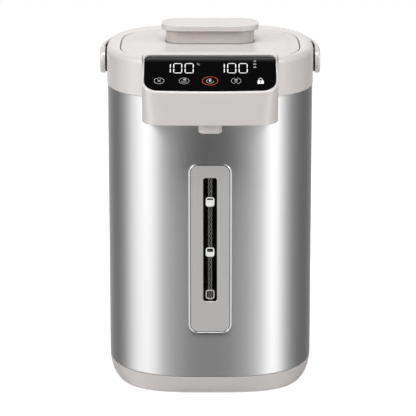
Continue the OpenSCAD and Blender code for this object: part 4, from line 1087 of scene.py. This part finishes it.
# %% Finishes of the parts that stay
stay = {
    warm_grey: ["bottom_plate", "head_cover"],
    pale_grey: ["lid_inner_cover", "steam_vent", "stop_valve", "pump_housing", "pump_cover", "impeller",
                "latch_bolt"],
    rubber: ["foot_ring"],
    silicone: ["pot_gasket", "lid_gasket", "outlet_pipe", "lower_hose", "suction_hose", "steam_duct",
               "touch_contacts"],
    inner_steel: ["inner_pot", "pot_neck", "lid_dish", "heat_shield"],
    bright_steel: ["base_screws", "tie_rods", "hinge_pin", "stop_valve_ball", "motor_rotor", "pump_motor",
                   "temperature_sensor", "lid_screws", "handle_pivots"],
    cast_metal: ["heater_plate"],
    matt_black: ["level_channel", "thermal_cutouts", "light_mask", "power_inlet"],
    board_green: ["display_board", "power_board"],
    clear_glass: ["sight_tube"],
}
bevelled = {"bottom_plate": 0.4, "foot_ring": 0.4, "steam_vent": 0.3, "power_inlet": 0.4,
            "handle_pivots": 0.5, "lid_dish": 0.4, "lid_inner_cover": 0.3, "hinge_pin": 0.2}
bevel_angle = math.radians(40)
for finish, names in stay.items():
    for name in names:
        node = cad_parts[name]
        node.data.materials.clear()
        node.data.materials.append(finish)
        if name in bevelled:
            edge = node.modifiers.new("edge", "BEVEL")
            edge.width, edge.segments, edge.limit_method = bevelled[name] * MM, 2, "ANGLE"
            edge.angle_limit = bevel_angle
        soften(node, even=False)
print("kept:", sum(len(names) for names in stay.values()), "nodes")

# %% [markdown]
# ## Studio
# The pot stands on a pale floor in front of a white surround. The room that the metal reflects
# is a real studio's: two tall soft panels at the sides, a greyer room between them, white behind
# the pot and a dark ceiling. The floor shows the pot's soft shadow, and lets the metal see the
# room.

# %% Floor
floor_r, floor_depth = 9000, 20
floor = prism("floor", circle(floor_r, 64), -floor_depth, 0)
floor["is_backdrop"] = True
floor_white, tree, matt = new_finish("studio_floor", (0.8, 0.8, 0.8, 1), 0.0)
matt.inputs["Roughness"].default_value = 0.95
matt.inputs["Specular IOR Level"].default_value = 0.1
glow = new_node(tree, "ShaderNodeEmission", Strength=0.6)
path = new_node(tree, "ShaderNodeLightPath")
both = new_node(tree, "ShaderNodeAddShader")
clear = new_node(tree, "ShaderNodeBsdfTransparent")
for_camera = new_node(tree, "ShaderNodeMixShader")
for_metal = new_node(tree, "ShaderNodeMixShader")
either = math_node(tree, "MAXIMUM")
wire(tree,
     (matt.outputs[0], both.inputs[0]),
     (glow.outputs[0], both.inputs[1]),
     (path.outputs["Is Camera Ray"], for_camera.inputs["Fac"]),
     (matt.outputs[0], for_camera.inputs[1]),
     (both.outputs[0], for_camera.inputs[2]),
     (path.outputs["Is Glossy Ray"], either.inputs[0]),
     (path.outputs["Is Transmission Ray"], either.inputs[1]),
     (either.outputs[0], for_metal.inputs["Fac"]),
     (for_camera.outputs[0], for_metal.inputs[1]),
     (clear.outputs[0], for_metal.inputs[2]),
     (for_metal.outputs[0], tree.nodes["Material Output"].inputs["Surface"]))
floor.data.materials.append(floor_white)
print("floor radius", floor_r * MM, "m")

# %% The room as the metal sees it, by compass direction
# Each stop is a direction in degrees, 0 at the front and minus to the left, and its brightness
room_stops = [(-180, 1.0), (-168, 0.85), (-150, 0.34), (-134, 0.18), (-115, 0.4), (-98, 1.14), (-89, 1.98),
              (-71, 1.8), (-54, 0.76), (-37, 0.76), (-25, 0.56), (-17, 0.4), (-8, 0.2), (0, 0.0), (8, 0.2),
              (16, 0.4), (25, 0.6), (34, 0.82), (48, 1.3), (61, 1.85), (74, 1.98), (87, 1.0), (100, 0.48),
              (118, 0.27), (138, 0.18), (156, 0.28), (170, 0.75), (180, 1.0)]
brightest = 2.0

world = bpy.data.worlds.new("studio")
bpy.context.scene.world = world
world.use_nodes = True
tree = world.node_tree
tree.nodes.clear()
place = new_node(tree, "ShaderNodeTexCoord")
split = new_node(tree, "ShaderNodeSeparateXYZ")
front = math_node(tree, "MULTIPLY", None, -1.0)
compass = math_node(tree, "ARCTAN2")
turn_share = new_node(tree, "ShaderNodeMapRange", **{"From Min": -math.pi, "From Max": math.pi})
room = new_node(tree, "ShaderNodeValToRGB")
room.color_ramp.interpolation = "B_SPLINE"
stops = room.color_ramp.elements
while len(stops) < len(room_stops):
    stops.new(0.5)
for stop, (degrees, value) in zip(stops, room_stops):
    stop.position = (degrees + 180) / 360
    stop.color = (value / brightest, value / brightest, value / brightest, 1)
ceiling = new_node(tree, "ShaderNodeMapRange", interpolation_type="SMOOTHSTEP",
                   **{"From Min": 0.6, "From Max": 0.95, "To Min": brightest, "To Max": 0.03})
strength = math_node(tree, "MULTIPLY")
wire(tree,
     (place.outputs["Generated"], split.inputs[0]),
     (split.outputs["Y"], front.inputs[0]),
     (split.outputs["X"], compass.inputs[0]),
     (front.outputs[0], compass.inputs[1]),
     (compass.outputs[0], turn_share.inputs["Value"]),
     (turn_share.outputs["Result"], room.inputs["Fac"]),
     (split.outputs["Z"], ceiling.inputs["Value"]),
     (room.outputs["Color"], strength.inputs[0]),
     (ceiling.outputs["Result"], strength.inputs[1]))
print("stops:", len(stops))

# %% The room as the camera and the plain surfaces see it
white = (1, 1, 1, 1)
path = new_node(tree, "ShaderNodeLightPath")
mirror = new_node(tree, "ShaderNodeBackground", Color=white)
seen = new_node(tree, "ShaderNodeBackground", Color=white, Strength=1.0)
fill = new_node(tree, "ShaderNodeBackground", Color=white)
upward = new_node(tree, "ShaderNodeMapRange",
                  **{"From Min": -0.6, "From Max": 0.6, "To Min": 0.13, "To Max": 0.43})
by_ray = new_node(tree, "ShaderNodeMixShader")
by_camera = new_node(tree, "ShaderNodeMixShader")
through = math_node(tree, "MAXIMUM")
end = new_node(tree, "ShaderNodeOutputWorld")
wire(tree,
     (strength.outputs[0], mirror.inputs["Strength"]),
     (split.outputs["Z"], upward.inputs["Value"]),
     (upward.outputs["Result"], fill.inputs["Strength"]),
     (path.outputs["Is Glossy Ray"], through.inputs[0]),
     (path.outputs["Is Transmission Ray"], through.inputs[1]),
     (through.outputs[0], by_ray.inputs["Fac"]),
     (fill.outputs[0], by_ray.inputs[1]),
     (mirror.outputs[0], by_ray.inputs[2]),
     (path.outputs["Is Camera Ray"], by_camera.inputs["Fac"]),
     (by_ray.outputs[0], by_camera.inputs[1]),
     (seen.outputs[0], by_camera.inputs[2]),
     (by_camera.outputs[0], end.inputs["Surface"]))
print("world:", len(tree.nodes), "nodes")


# %% Lamps
pot_middle = (0, 0, 0.18)


def soft_light(name, place, width, height, watts):
    data = bpy.data.lights.new(name, "AREA")
    data.shape, data.size, data.size_y, data.energy = "RECTANGLE", width, height, watts
    aim(bpy.data.objects.new(name, data), place, pot_middle)


soft_light("left_softbox", (-1.5, -0.95, 1.25), 0.9, 0.9, 15)
soft_light("right_softbox", (1.55, -0.8, 1.15), 0.7, 0.7, 8.5)
soft_light("top_softbox", (0, -0.66, 1.95), 1.0, 0.7, 16)
bpy.context.scene.view_settings.view_transform = "Standard"
print("lamps:", len(bpy.data.lights))

# %% Sizes, and the end
new_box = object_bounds()
for label, box in (("cad", cad_box), ("visual", new_box)):
    print(label, [round(v, 4) for v in box[1] - box[0]])
